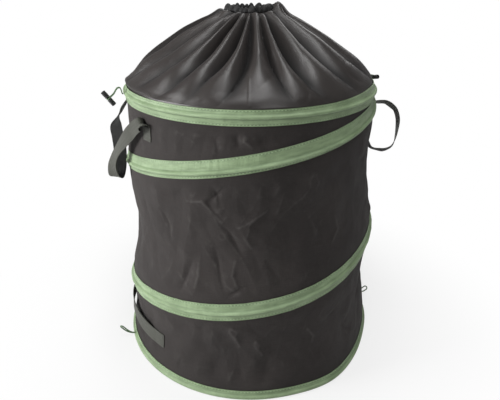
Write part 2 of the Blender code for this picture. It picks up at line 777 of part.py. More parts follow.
def toggle_profile():
    """The upper half of a ribbed bar turned down to a groove in the middle."""
    half = TOGGLE_LENGTH / 2
    ribs = 4
    groove = TOGGLE_CORD_DIAMETER / 2 + CLEARANCE
    step = (half - groove) / (2 * ribs)
    low = TOGGLE_RADIUS - TOGGLE_RIB_DEPTH
    points = [(0, half), (low, half)]
    for rib in range(ribs):
        top = half - 2 * rib * step
        points.append((TOGGLE_RADIUS, top - step / 2))
        points.append((TOGGLE_RADIUS, top - step))
        points.append((low, top - 3 * step / 2))
    points.append((TOGGLE_GROOVE_RADIUS, groove))
    return points


def make_toggle(side_name, turn, shares, bar_direction):
    """A toggle bar and the doubled cord that ties its middle to the top tape."""
    upper = toggle_profile()
    profile = upper + [(radius, -height) for radius, height in reversed(upper)]
    bar = turned(side_name + "_toggle", profile, 12, toggle_plastic)
    start = ridge_radius(turn, UPPER_FERRULE_TURN) + TAPE_THICKNESS + 2 * CLEARANCE
    steps = [(out * TOGGLE_CORD_REACH, up * TOGGLE_CORD_REACH) for out, up in shares]
    route = cord_route(turn, start, RING_HEIGHT, steps, 10)
    ahead = (route[-1] - route[-2]).normalized()
    out, along, up = bar_direction
    axis = outward(turn) * out + sideways(turn) * along + Vector((0, 0, up))
    axis = (axis - ahead * axis.dot(ahead)).normalized()
    across = ahead.cross(axis)
    bar.matrix_world = Matrix.Translation(route[-1]) @ Matrix((across, ahead, axis)).transposed().to_4x4()
    wrap = TOGGLE_GROOVE_RADIUS + CLEARANCE + TOGGLE_CORD_DIAMETER / 2
    points = hairpin(route, across, TOGGLE_CORD_DIAMETER * 0.7, wrap)
    cord = tube(side_name + "_toggle_cord", points, TOGGLE_CORD_DIAMETER / 2, green_cord)
    hinge = route[0] + Vector((0, 0, CORD_HINGE_RISE / 2))
    return pivot(side_name + "_toggle_swing", hinge, [bar, cord])


def make_elastic_loop(side_name, turn, shares):
    """The loop at the foot that holds the bag folded when it is hooked over its toggle."""
    start = ridge_radius(turn, LOWER_FERRULE_TURN) + TAPE_THICKNESS + CLEARANCE
    steps = [(out * ELASTIC_REACH, up * ELASTIC_REACH) for out, up in shares]
    route = cord_route(turn, start, ELASTIC_HEIGHT, steps, 8)
    ahead = (route[-1] - route[-2]).normalized()
    across = (sideways(turn) + ahead.cross(sideways(turn))).normalized()
    points = hairpin(route, across, ELASTIC_DIAMETER * 0.6, ELASTIC_HALF_WIDTH)
    loop = tube(side_name + "_elastic_loop", points, ELASTIC_DIAMETER / 2, green_cord)
    hinge = route[0] + Vector((0, 0, CORD_HINGE_RISE))
    return pivot(side_name + "_elastic_swing", hinge, [loop])


# The bag

for old in list(bpy.data.objects):
    bpy.data.objects.remove(old)
parts = bpy.data.collections.new("pop_up_leaf_bag")
bpy.context.scene.collection.children.link(parts)

wall_cloth = material("wall_cloth", (0.055, 0.050, 0.050), 0.85)
skirt_cloth = material("skirt_cloth", (0.085, 0.082, 0.082), 0.45)
hem_cloth = material("hem_cloth", (0.012, 0.012, 0.013), 0.6)
casing_tape = material("casing_tape", (0.36, 0.52, 0.31), 0.55)
webbing = material("webbing", (0.12, 0.13, 0.115), 0.8)
spring_steel = material("spring_steel", (0.45, 0.45, 0.46), 0.35, 1.0)
black_cord = material("black_cord", (0.015, 0.015, 0.016), 0.7)
green_cord = material("green_cord", (0.03, 0.06, 0.03), 0.7)
toggle_plastic = material("toggle_plastic", (0.012, 0.012, 0.012), 0.45)

make_base_panel()
make_wall()
make_spring_wire()
make_ferrule("lower_ferrule", LOWER_FERRULE_TURN, BOTTOM_WIRE_HEIGHT)
make_spiral_tape()
make_bottom_tape()
make_lower_handle(LEFT_TURN_SHARE)

mouth = pivot("mouth_slide", Vector((0, 0, MOUTH_HEIGHT)), [make_hem(), make_drawcord()])
upper_ferrule = make_ferrule("upper_ferrule", UPPER_FERRULE_TURN, RING_HEIGHT)
ring_pieces = [
    make_top_tape(),
    make_skirt(),
    upper_ferrule,
    make_toggle("left", LEFT_TURN_SHARE, LEFT_CORD_SHARES, (-0.64, 0, -0.77)),
    make_toggle("right", RIGHT_TOGGLE_TURN_SHARE, RIGHT_CORD_SHARES, (0.2, 1, 0.2)),
    mouth,
]
pivot("collapse_slide", Vector((0, 0, RING_HEIGHT)), ring_pieces)

for side, turn, front, route_shares in (
    ("left", LEFT_TURN_SHARE, -1, LEFT_HANDLE_SHARES),
    ("right", RIGHT_HANDLE_TURN_SHARE, 1, RIGHT_HANDLE_SHARES),
):
    seam_pieces = [
        make_sewn_end(side + "_handle_front_end", turn + HANDLE_SPREAD_SHARE * front),
        make_sewn_end(side + "_handle_back_end", turn - HANDLE_SPREAD_SHARE * front),
        make_handle(side, turn, route_shares),
    ]
    pivot(side + "_seams_slide", Vector((0, 0, SEWN_END_HEIGHT)), seam_pieces)

make_elastic_loop("left", LEFT_TURN_SHARE, LEFT_ELASTIC_SHARES)
make_elastic_loop("right", RIGHT_TOGGLE_TURN_SHARE, RIGHT_ELASTIC_SHARES)
print("least gap between passes of the wire:", round(least_wire_gap() * 1000, 2), "mm")
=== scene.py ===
"""Pop up leaf bag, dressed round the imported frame: creased wall cloth, gathered skirt, stitched
casing tapes, webbing handles, toggles and elastic loops. Metres, +Z up, the front faces -Y."""

import math

import bpy
import numpy as np
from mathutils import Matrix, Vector, noise


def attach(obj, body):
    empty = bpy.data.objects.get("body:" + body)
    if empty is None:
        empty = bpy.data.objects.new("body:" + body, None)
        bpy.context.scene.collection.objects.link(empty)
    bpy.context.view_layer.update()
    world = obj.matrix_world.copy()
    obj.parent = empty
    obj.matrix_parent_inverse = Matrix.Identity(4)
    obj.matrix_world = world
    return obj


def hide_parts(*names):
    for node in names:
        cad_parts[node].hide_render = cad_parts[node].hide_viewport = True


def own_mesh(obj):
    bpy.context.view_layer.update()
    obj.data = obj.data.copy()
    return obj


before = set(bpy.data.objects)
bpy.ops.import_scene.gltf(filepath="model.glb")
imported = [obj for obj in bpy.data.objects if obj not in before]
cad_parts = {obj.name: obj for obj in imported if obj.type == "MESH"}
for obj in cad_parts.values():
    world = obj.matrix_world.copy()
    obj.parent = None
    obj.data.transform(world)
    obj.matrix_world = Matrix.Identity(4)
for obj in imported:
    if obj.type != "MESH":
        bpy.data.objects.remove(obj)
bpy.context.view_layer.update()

# Sizes shared with the frame
RING = 0.250
TOP = 0.512
WIRE = 0.003
GAP = 0.0003
BOTTOM = 0.0043
TURNS = 2.035
START = -34 / 360
END = START + TURNS
EASE = 60 / 360
PITCH = (TOP - BOTTOM) / TURNS
WALL_R = 0.2473
TAPE_R = 0.2521
TAPE_W = 0.031
SAG = 0.009
SEAM = 0.4711
WEB = 0.025
LEFT = 160 / 360
RIGHT = -28 / 360
RIGHT_TOGGLE = -12 / 360
# Half a handle's and half the lower handle's span round the bag, in turns
HANDLE_HALF = 22 / 360
LOWER_HALF = 29 / 360
HANDLE_REACH = 0.041
HANDLE_DROP = 0.143
LOWER_HEIGHT = 0.062
PATCH = 0.026
# Edges that turn by more than this are shaded sharp
SHARP = math.radians(50)


def clamp(v, low=0.0, high=1.0):
    return np.minimum(np.maximum(v, low), high)


def smooth(v):
    v = clamp(v)
    return v * v * (3 - 2 * v)


def mix(a, b, t):
    return a + (b - a) * t


def bell(v):
    return np.exp(-(v**2))


def round_from(place, azimuth):
    """Degrees from a place round to an azimuth, -180 to 180."""
    return (azimuth - place + 180) % 360 - 180


def curve_list(values, share):
    """A smooth curve through evenly spaced values (numbers or rows), at shares of its length."""
    values = np.asarray(values, float)
    last = len(values) - 1
    place = clamp(np.asarray(share, float)) * last
    i = np.minimum(place.astype(int), last - 1)
    t = place - i
    if values.ndim > 1:
        t = t[..., None]
    before = values[np.maximum(i - 1, 0)]
    a = values[i]
    b = values[i + 1]
    after = values[np.minimum(i + 2, last)]
    slope_a = (b - before) * 0.5
    slope_b = (after - a) * 0.5
    return (
        a * (2 * t**3 - 3 * t**2 + 1)
        + slope_a * (t**3 - 2 * t**2 + t)
        + b * (3 * t**2 - 2 * t**3)
        + slope_b * (t**3 - t**2)
    )


def evenly(values, count):
    """The same curve at evenly spaced places."""
    return curve_list([list(row) for row in values], np.linspace(0, 1, count))


def run_of(line):
    """How far along a line of points each of them is."""
    return np.append(0, np.cumsum(np.linalg.norm(np.diff(line, axis=0), axis=1)))


def fields(points, scale, octaves=1, seed=0.0):
    """Smooth noise from -1 to 1 at each point."""
    flat = np.asarray(points, float).reshape(-1, 3) * scale + seed
    out = np.zeros(len(flat))
    for octave in range(octaves):
        k = 2.0**octave
        out += [noise.noise(Vector(p * k)) / k for p in flat]
    return out.reshape(np.shape(points)[:-1])


def ridged(points, scale, seed=0.0):
    """Creases: one along the lines where the noise changes sign, falling off to nought."""
    return 1 - np.minimum(1, np.abs(fields(points, scale, 1, seed)) * 5)


# The spring wire's course, as in the frame


def ramp(x):
    half = EASE / 2
    return np.where(x < -half, 0.0, np.where(x < half, (x + half) ** 2 / (2 * EASE), x))


def wire_height(turn):
    turn = np.asarray(turn, float)
    run = ramp(turn - START) - ramp(turn - END)
    dip = clamp((turn - 1.02) / 0.38)
    return TOP - PITCH * run - 0.009 * np.sin(math.pi * dip) ** 2


CROSSING = math.sqrt(2 * EASE * (WIRE + 2 * GAP) / PITCH) - EASE / 2
UPPER_FERRULE = (math.floor((START + CROSSING) * 48) + 0.5) / 48
LOWER_FERRULE = (math.floor((END - CROSSING) * 48) + 0.5) / 48
WIRE_START = UPPER_FERRULE - 1
WIRE_END = LOWER_FERRULE + 1


def passes(turn):
    """Wire heights at a turn, lowest first."""
    rounds = range(math.ceil(WIRE_START - turn), math.floor(WIRE_END - turn) + 1)
    return sorted(float(wire_height(turn + k)) for k in rounds)


def wall_base(turn, heights):
    """The wall's smooth outside radius at heights over one turn, and how free of the wire it is."""
    wires = np.array(passes(turn))
    heights = np.asarray(heights, float)
    above = np.searchsorted(wires, heights, side="right")
    low = wires[np.clip(above - 1, 0, len(wires) - 1)]
    high = wires[np.clip(above, 0, len(wires) - 1)]
    span = np.maximum(high - low, 1e-6)
    share = clamp((heights - low) / span)
    inside = (above > 0) & (above < len(wires))
    depth = SAG * np.minimum(1, span / PITCH)
    radius = WALL_R - np.where(inside, depth * np.sin(math.pi * share) ** 2, 0)
    over = above >= len(wires)
    radius = np.where(over, WALL_R - 0.002 * (heights - TOP) / 0.013, radius)
    away = np.min(np.abs(heights[:, None] - wires), axis=1)
    return radius, away


# Meshes


def placed(name, data):
    obj = bpy.data.objects.new(name, data)
    bpy.context.scene.collection.objects.link(obj)
    return obj


def mesh_piece(name, verts, faces):
    mesh = bpy.data.meshes.new(name)
    mesh.from_pydata([tuple(v) for v in verts], [], faces)
    mesh.validate()
    mesh.shade_smooth()
    return placed(name, mesh)


def shell(name, outer, thickness, around, shade=None):
    """A closed cloth shell from a grid of points outer[u][v], whose outside faces u cross v.

    A shade, one number for each point of the grid, is kept for the material to read."""
    outer = np.asarray(outer, float)
    nu, nv = outer.shape[:2]
    if around:
        du = np.roll(outer, -1, 0) - np.roll(outer, 1, 0)
    else:
        du = np.gradient(outer, axis=0)
    dv = np.gradient(outer, axis=1)
    normal = np.cross(du, dv)
    normal /= np.maximum(np.linalg.norm(normal, axis=2, keepdims=True), 1e-12)
    inner = outer - normal * np.broadcast_to(thickness, (nu, nv))[..., None]
    verts = np.concatenate([outer.reshape(-1, 3), inner.reshape(-1, 3)])
    i = np.arange(nu if around else nu - 1)[:, None]
    j = np.arange(nv - 1)
    a = i * nv + j
    b = ((i + 1) % nu) * nv + j
    quads = np.stack([a, b, b + 1, a + 1], -1).reshape(-1, 4)
    back = quads[:, ::-1] + nu * nv
    i = i[:, 0]
    foot = np.stack([i * nv + nu * nv, ((i + 1) % nu) * nv + nu * nv, ((i + 1) % nu) * nv, i * nv], -1)
    head = foot[:, ::-1] + nv - 1
    faces = [quads, back, foot, head]
    if not around:
        j = np.arange(nv - 1)
        near = np.stack([j, j + 1, j + 1 + nu * nv, j + nu * nv], -1)
        faces += [near, near[:, ::-1] + (nu - 1) * nv]
    faces = np.concatenate(faces)
    mesh = bpy.data.meshes.new(name)
    mesh.from_pydata(verts.tolist(), [], faces.tolist())
    u, v = [
        np.append(0, np.cumsum(np.linalg.norm(np.diff(outer, axis=k), axis=2).mean(axis=1 - k)))
        for k in (0, 1)
    ]
    seam = u[-1] + (np.linalg.norm(outer[0] - outer[-1], axis=1).mean() if around else 0)
    layer = mesh.uv_layers.new(name="UVMap")
    index = np.empty(len(mesh.loops), np.int64)
    mesh.loops.foreach_get("vertex_index", index)
    place = index % (nu * nv)
    row = place // nv
    across = v[place % nv]
    along = u[row]
    if around:
        # The quads that close the ring read the far side of the seam
        corner = np.repeat(np.arange(len(faces)), 4)
        closing = (row.reshape(-1, 4).max(axis=1) == nu - 1) & (row.reshape(-1, 4).min(axis=1) == 0)
        along = np.where(closing[corner] & (row == 0), seam, along)
    layer.data.foreach_set("uv", np.stack([along, across], -1).astype(np.float32).ravel())
    if shade is not None:
        values = np.tile(np.asarray(shade, np.float32).ravel(), 2)
        mesh.attributes.new("shade", "FLOAT", "POINT").data.foreach_set("value", values)
    mesh.shade_smooth()
    mesh.set_sharp_from_angle(angle=SHARP)
    mesh.validate()
    return placed(name, mesh)


def ring_faces(count, sides, closed=False):
    """Faces of a round body from its rings of points, which turn left about its run."""
    faces = []
    for i in range(count if closed else count - 1):
        here = i * sides
        after = (i + 1) % count * sides
        for k in range(sides):
            to = (k + 1) % sides
            faces.append((here + k, here + to, after + to, after + k))
    if not closed:
        faces.append(tuple(reversed(range(sides))))
        faces.append(tuple(range((count - 1) * sides, count * sides)))
    return faces


def rods(name, ends, radius):
    """Many short stitches in one mesh, each from one point to another and bowed outwards."""
    verts = []
    faces = []
    rod = ring_faces(4, 4)
    for a, b in ends:
        along = b - a
        lift = (a + b) * (1, 1, 0)
        lift *= radius / np.linalg.norm(lift)
        side = np.cross(along, lift)
        side *= radius / max(np.linalg.norm(side), 1e-12)
        base = len(verts)
        for share, size in ((0, 0.45), (0.3, 1.0), (0.7, 1.0), (1, 0.45)):
            middle = a + along * share + lift * (0.5 * math.sin(math.pi * share) - 0.3)
            for out in (side, -lift, -side, lift):
                verts.append(middle + out * size)
        faces += [tuple(base + k for k in face) for face in rod]
    return mesh_piece(name, verts, faces)


# How high a braided cord's strands stand, as a share of its radius
BRAID = 0.05


def tube(name, points, radius, sides, closed=False, bulge=0.0):
    """A round cord as a mesh along points, its surface lightly ribbed if bulge is set."""
    points = np.asarray(points, float)
    count = len(points)
    if closed:
        along = np.roll(points, -1, 0) - np.roll(points, 1, 0)
    else:
        along = np.gradient(points, axis=0)
    along /= np.linalg.norm(along, axis=1, keepdims=True)
    ref = np.array([0, 0, 1.0])
    if abs(along[0] @ ref) > 0.9:
        ref = np.array([1.0, 0, 0])
    side = np.cross(along[0], ref)
    side /= np.linalg.norm(side)
    verts = []
    for i in range(count):
        side = side - along[i] * (side @ along[i])
        side /= np.linalg.norm(side)
        other = np.cross(along[i], side)
        for k in range(sides):
            angle = math.tau * k / sides
            r = radius * (1 + bulge * math.sin(i * 0.9 + angle * 3))
            verts.append(points[i] + (side * math.cos(angle) + other * math.sin(angle)) * r)
    obj = mesh_piece(name, verts, ring_faces(count, sides, closed))
    layer = obj.data.uv_layers.new(name="UVMap")
    run = run_of(points)
    for loop in obj.data.loops:
        ring, k = divmod(loop.vertex_index, sides)
        layer.data[loop.index].uv = (run[ring], k / sides * math.tau * radius)
    return obj


# Materials


def linear(*rgb):
    """A colour as it is seen, 0 to 255, in the renderer's own units."""
    out = []
    for c in rgb:
        c = c / 255
        out.append(c / 12.92 if c <= 0.04045 else ((c + 0.055) / 1.055) ** 2.4)
    return (*out, 1)


class Nodes:
    """A material's nodes, made in one line each."""

    def __init__(self, name):
        self.material = bpy.data.materials.new(name)
        self.material.use_nodes = True
        self.tree = self.material.node_tree
        self.shader = self.tree.nodes["Principled BSDF"]
        places = self.add("TexCoord")
        self.uv = places.outputs["UV"]
        self.where = places.outputs["Object"]

    def add(self, kind, inputs=(), **settings):
        node = self.tree.nodes.new("ShaderNode" + kind)
        for key, value in settings.items():
            setattr(node, key, value)
        for key, value in dict(inputs).items():
            if isinstance(value, bpy.types.NodeSocket):
                self.tree.links.new(value, node.inputs[key])
            else:
                node.inputs[key].default_value = value
        return node

    def math(self, operation, a, b=0.0):
        return self.add("Math", {0: a, 1: b}, operation=operation).outputs[0]

    def times(self, a, b):
        return self.math("MULTIPLY", a, b)

    def plus(self, a, b):
        return self.math("ADD", a, b)

    def shade(self):
        """The number that shell() kept at each point."""
        return self.add("Attribute", attribute_name="shade").outputs["Fac"]

    def mapped(self, source, scale):
        return self.add("Mapping", {"Vector": source, "Scale": scale}).outputs[0]

    def noise(self, source, scale, detail=3.0, roughness=0.55):
        made = self.add("TexNoise", {"Vector": source, "Scale": scale, "Detail": detail})
        made.inputs["Roughness"].default_value = roughness
        return made.outputs["Fac"]

    def wave(self, scale, direction):
        inputs = {"Vector": self.uv, "Scale": scale, "Distortion": 0.0, "Detail": 1.0}
        return self.add("TexWave", inputs, bands_direction=direction).outputs["Fac"]

    def weave(self):
        """A fine plain weave."""
        return self.times(self.wave(420.0, "X"), self.wave(420.0, "Y"))

    def ramp(self, fac, *stops):
        node = self.add("ValToRGB", {0: fac})
        while len(node.color_ramp.elements) < len(stops):
            node.color_ramp.elements.new(0.5)
        for element, (place, colour) in zip(node.color_ramp.elements, stops):
            element.position = place
            element.color = linear(*colour)
        return node.outputs[0]

    def blend(self, fac, a, b):
        return self.add("Mix", {0: fac, 6: a, 7: linear(*b)}, data_type="RGBA").outputs[2]

    def set(self, **values):
        names = {
            "colour": "Base Color",
            "rough": "Roughness",
            "metal": "Metallic",
            "sheen": "Sheen Weight",
            "sheen_rough": "Sheen Roughness",
            "specular": "Specular IOR Level",
            "normal": "Normal",
        }
        for key, value in values.items():
            socket = self.shader.inputs[names[key]]
            if isinstance(value, bpy.types.NodeSocket):
                self.tree.links.new(value, socket)
            else:
                socket.default_value = value
        return self.material

    def bump(self, height, distance, strength=1.0, over=None):
        inputs = {"Height": height, "Distance": distance, "Strength": strength}
        if over is not None:
            inputs["Normal"] = over
        return self.add("Bump", inputs).outputs[0]


def wall_material():
    """Dark stiff cloth: long fibres along and across, mottled, paler where its creases are worn."""
    n = Nodes("wall_cloth_worn")
    along = n.noise(n.mapped(n.uv, (45, 1500, 1)), 1.0, 3.0, 0.6)
    across = n.noise(n.mapped(n.uv, (1500, 60, 1)), 1.0, 3.0, 0.6)
    fibre = n.plus(n.times(along, 0.55), n.times(across, 0.45))
    weave = n.weave()
    speck = n.noise(n.uv, 1100.0, 2.0, 0.7)
    cloud = n.noise(n.where, 7.0, 4.0, 0.6)
    tone = n.plus(n.times(cloud, 0.45), n.times(fibre, 0.55))
    base = n.ramp(tone, (0.34, (36, 33, 32)), (0.5, (47, 43, 42)), (0.68, (60, 56, 54)))
    base = n.blend(n.times(speck, 0.14), base, (78, 74, 72))
    worn = n.shade()
    rubbed = n.times(worn, n.times(n.noise(n.where, 60.0, 3.0), 0.42))
    base = n.blend(rubbed, base, (100, 97, 95))
    height = n.plus(n.times(fibre, 0.6), n.times(weave, 0.4))
    normal = n.bump(height, 0.0006, 0.5)
    broad = n.noise(n.where, 30.0, 4.0, 0.6)
    normal = n.bump(broad, 0.003, 0.45, normal)
    rough = n.plus(0.72, n.times(speck, 0.16))
    return n.set(colour=base, rough=rough, sheen=0.04, sheen_rough=0.5, specular=0.2, normal=normal)


def skirt_material():
    """Thin smooth lining cloth with a soft gloss and a fine plain weave, and painted shade darkening the
    valleys of its folds.
    """
    n = Nodes("skirt_lining")
    grain = n.weave()
    cloud = n.noise(n.where, 9.0, 4.0, 0.55)
    base = n.ramp(cloud, (0.3, (41, 37, 36)), (0.7, (53, 49, 47)))
    base = n.blend(n.times(grain, 0.12), base, (88, 84, 82))
    # Painted shade: the valleys of the folds are darkened towards near black, and made rougher
    painted_valley_shade = n.shade()
    base = n.blend(n.times(painted_valley_shade, 0.9), base, (12, 11, 11))
    fold = n.noise(n.where, 26.0, 4.0, 0.6)
    normal = n.bump(grain, 0.0002, 0.35)
    normal = n.bump(fold, 0.003, 0.14, normal)
    rough = n.plus(n.plus(0.30, n.times(cloud, 0.10)), n.times(painted_valley_shade, 0.4))
    return n.set(colour=base, rough=rough, sheen=0.02, specular=0.5, normal=normal)


def hem_material():
    n = Nodes("hem_black")
    grain = n.weave()
    cloud = n.noise(n.where, 60.0, 3.0)
    base = n.ramp(cloud, (0.3, (20, 20, 21)), (0.7, (44, 43, 43)))
    return n.set(colour=base, rough=0.6, specular=0.3, normal=n.bump(grain, 0.0003, 0.4))


def tape_material(name, light, shade):
    """Satin binding tape: a fine rib across it, soft puckers, and painted shade along its sewn channels."""
    n = Nodes(name)
    rib = n.wave(500.0, "X")
    weft = n.wave(360.0, "Y")
    grain = n.plus(n.times(rib, 0.7), n.times(weft, 0.3))
    cloud = n.noise(n.mapped(n.uv, (22, 90, 1)), 1.0, 4.0, 0.62)
    base = n.ramp(cloud, (0.3, shade), (0.7, light))
    base = n.blend(n.times(grain, 0.14), base, (196, 214, 178))
    # Painted shade: the grooves of the sewn channels are darkened
    painted_channel_shade = n.shade()
    base = n.blend(n.times(painted_channel_shade, 0.75), base, (74, 92, 64))
    pucker = n.noise(n.mapped(n.uv, (150, 26, 1)), 1.0, 3.0, 0.6)
    normal = n.bump(grain, 0.00025, 0.4)
    normal = n.bump(pucker, 0.0022, 0.5, normal)
    return n.set(colour=base, rough=0.5, sheen=0.1, sheen_rough=0.4, specular=0.35, normal=normal)


def webbing_material(name, light, dark, sheen):
    """Woven polypropylene webbing: herringbone ribs along it and a flecked weft."""
    n = Nodes(name)
    split = n.add("SeparateXYZ", {0: n.uv})
    zig = n.math("PINGPONG", split.outputs[1], 0.0032)
    slant = n.plus(split.outputs[0], zig)
    rib = n.math("SINE", n.times(slant, 3300.0))
    line = n.math("SINE", n.times(split.outputs[1], 3900.0))
    weave = n.plus(n.times(rib, 0.28), n.times(line, 0.22))
    weave = n.plus(weave, 0.5)
    speck = n.noise(n.mapped(n.uv, (900, 900, 1)), 1.0, 2.0)
    tone = n.plus(n.times(weave, 0.6), n.times(speck, 0.4))
    base = n.ramp(tone, (0.2, dark), (0.8, light))
    normal = n.bump(weave, 0.0005, 0.7)
    return n.set(colour=base, rough=0.62, sheen=sheen, sheen_rough=0.4, specular=0.3, normal=normal)


def thread_material(name, colour):
    n = Nodes(name)
    twist = n.noise(n.where, 900.0, 2.0)
    base = n.blend(n.times(twist, 0.35), linear(*colour), [c * 0.7 for c in colour])
    return n.set(colour=base, rough=0.5, sheen=0.2, normal=n.bump(twist, 0.0002, 0.4))


def cord_material(name, light, dark):
    """Braided cord: two crossing helices of strands."""
    n = Nodes(name)
    split = n.add("SeparateXYZ", {0: n.uv})
    one = n.plus(split.outputs[0], split.outputs[1])
    two = n.math("SUBTRACT", split.outputs[0], split.outputs[1])
    a = n.math("SINE", n.times(one, 5200.0))
    b = n.math("SINE", n.times(two, 5200.0))
    braid = n.plus(n.times(n.math("MAXIMUM", a, b), 0.5), 0.5)
    base = n.ramp(braid, (0.2, dark), (0.9, light))
    return n.set(colour=base, rough=0.6, sheen=0.2, normal=n.bump(braid, 0.0003, 0.6))


def plastic_material():
    n = Nodes("toggle_moulded")
    grain = n.noise(n.where, 700.0, 3.0, 0.6)
    scuff = n.noise(n.where, 120.0, 4.0, 0.65)
    base = n.ramp(scuff, (0.35, (22, 22, 23)), (0.75, (44, 44, 44)))
    rough = n.plus(0.36, n.times(scuff, 0.25))
    return n.set(colour=base, rough=rough, specular=0.5, normal=n.bump(grain, 0.0001, 0.4))


def steel_material():
    n = Nodes("spring_steel_drawn")
    drawn = n.noise(n.mapped(n.where, (400, 400, 30)), 1.0, 3.0)
    base = n.ramp(drawn, (0.3, (120, 121, 124)), (0.7, (168, 169, 172)))
    rough = n.plus(0.28, n.times(drawn, 0.2))
    return n.set(colour=base, rough=rough, metal=1.0, normal=n.bump(drawn, 0.0001, 0.3))


WALL = wall_material()
SKIRT = skirt_material()
HEM = hem_material()
TAPE = tape_material("casing_tape_satin", (146, 168, 130), (106, 126, 92))
WEBBING = webbing_material("webbing_woven", (80, 81, 73), (47, 48, 42), 0.15)
# A near-black copy of the webbing: painted shade for one side of each handle
WEBBING_PAINTED_SHADE = webbing_material("webbing_painted_shade", (19, 20, 18), (8, 9, 8), 0.0)
THREAD = thread_material("tape_thread", (188, 218, 172))
DARK_THREAD = thread_material("webbing_thread", (58, 62, 56))
ELASTIC = cord_material("green_cord_braid", (108, 138, 98), (48, 66, 44))
BLACK_CORD = cord_material("black_cord_braid", (48, 48, 50), (14, 14, 15))
PLASTIC = plastic_material()
STEEL = steel_material()


def finish_piece(obj, material, slot, body, *nodes):
    obj.data.materials.append(material)
    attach(obj, body)
    if nodes:
        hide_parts(*nodes)
    return obj


# The spring wire is cut into its runs at these heights
FOLD_FOOT = 0.0155
FOLD_TOP = 0.4962


def low(obj):
    """Gives a piece a mesh of its own."""
    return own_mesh(obj)


# Where the real drum is pulled in or pushed out of round: azimuth, height, half spans, depth (m)
OUT_OF_ROUND = (
    (178, 0.225, 30, 0.075, -0.0075),
    (2, 0.275, 26, 0.055, 0.0035),
    (-8, 0.135, 26, 0.050, -0.0040),
    (-20, 0.000, 17, 0.060, -0.0060),
    (-55, 0.000, 13, 0.050, 0.0050),
)


def out_of_round(turn, height):
    azimuth = -360 * np.asarray(turn, float)
    total = 0.0
    for at, level, wide, tall, depth in OUT_OF_ROUND:
        near = bell(round_from(at, azimuth) / wide) * bell((np.asarray(height) - level) / tall)
        total = total + depth * near
    return total


def on_turn(turn, radius, height, warped=False):
    angle = -math.tau * np.asarray(turn, float)
    radius = np.asarray(radius, float)
    height = np.asarray(height, float) + 0 * angle
    if warped:
        radius = radius + out_of_round(turn, height)
    return np.stack([radius * np.cos(angle), radius * np.sin(angle), height], -1)


# Camera, at the photograph's viewing angle

camera_data = bpy.data.cameras.new("camera")
camera_data.sensor_width = 36
# The photograph's focal length and horizon, in its pixels
camera_data.lens = 524.1 * 36 / 500
camera_data.shift_y = -(200 - 65.3) / 500
camera_data.clip_end = 50
camera = placed("camera", camera_data)
camera.location = (0, -4.192 * RING, 2.974 * RING)
camera.rotation_euler = (math.radians(90 - 10.47), 0, 0)
bpy.context.scene.camera = camera

# Toggle cords and elastic loops

TOGGLE_REACH = 0.031
ELASTIC_REACH = 0.030
TIE = 0.002
LOOP = 0.0024
TOGGLE_START = TAPE_R + 0.0016 + 2 * GAP
ELASTIC_START = TAPE_R + 0.001 + GAP
# Routes of the cords: shares of the reach outwards and upwards
LEFT_CORD = ((0, 0), (0.06, 0.03), (0.16, 0.35), (0.36, 0.34), (0.57, 0.02), (0.87, -0.23))
RIGHT_CORD = ((0, 0), (0.08, 0.02), (0.2, 0.07), (0.38, 0.11), (0.58, 0.06))
LEFT_LOOP = ((0, 0), (0.22, 0.08), (0.48, 0.28), (0.78, 0.62))
RIGHT_LOOP = ((0, 0), (0.2, 0.02), (0.45, 0.09), (0.68, 0.22))


def outward(turn):
    return Vector(on_turn(turn, 1, 0))


def sideways(turn):
    return Vector(on_turn(turn + 0.25, 1, 0))


def cord_route(turn, radius, height, shares, reach, steps):
    through = [on_turn(turn, radius + out * reach, height + up * reach) for out, up in shares]
    return [Vector(p) for p in evenly(through, steps + 1)]


def hairpin(route, side, start_half, end_half):
    """Out on one side of a route, round its end and back on the other."""
    count = len(route)
    out_leg = []
    back_leg = []
    for i, point in enumerate(route):
        half = start_half + (end_half - start_half) * min(1, 1.3 * i / (count - 1))
        step = (route[min(i + 1, count - 1)] - route[max(i - 1, 0)]).normalized()
        across = (side - step * side.dot(step)).normalized() * half
        out_leg.append(point + across)
        back_leg.append(point - across)
    ahead = (route[-1] - route[-2]).normalized()
    bend = []
    for i in range(1, 8):
        angle = math.pi * i / 8
        bend.append(route[-1] + side * (end_half * math.cos(angle)) + ahead * (end_half * math.sin(angle)))
    return out_leg + bend + back_leg[::-1]


def free_cord(name, points, diameter, body, node):
    """A doubled cord whose both ends go into the tape."""
    fine = evenly(points, 140)
    obj = tube(name, fine, diameter / 2, 12, False, BRAID)
    finish_piece(obj, ELASTIC, "green_cord", body, node)


def toggle_bar(name, place, across, ahead, axis, body, node):
    """A moulded ribbed bar with a waisted middle that the cord goes round."""
    half = 0.017
    ribs = 4
    groove = TIE / 2 + GAP
    step = (half - groove) / (2 * ribs)
    upper = [(0.0022, half), (0.0034, half - 0.0003), (0.0041, half - 0.0009)]
    for rib in range(ribs):
        top = half - 2 * rib * step
        upper += [
            (0.0045, top - step * 0.45),
            (0.0046, top - step * 0.55),
            (0.0046, top - step * 0.95),
            (0.0045, top - step * 1.05),
            (0.0041, top - step * 1.45),
            (0.0041, top - step * 1.55),
        ]
    upper[-1] = (0.0026, groove + 0.0006)
    upper += [(0.0022, groove)]
    profile = [(r, -h) for r, h in upper] + upper[::-1]
    steps = 32
    verts = []
    for r, h in profile:
        for k in range(steps):
            angle = math.tau * k / steps
            verts.append(place + across * (r * math.cos(angle)) + ahead * (r * math.sin(angle)) + axis * h)
    obj = mesh_piece(name, verts, ring_faces(len(profile), steps))
    obj.data.set_sharp_from_angle(angle=SHARP)
    finish_piece(obj, PLASTIC, "toggle_plastic", body, node)


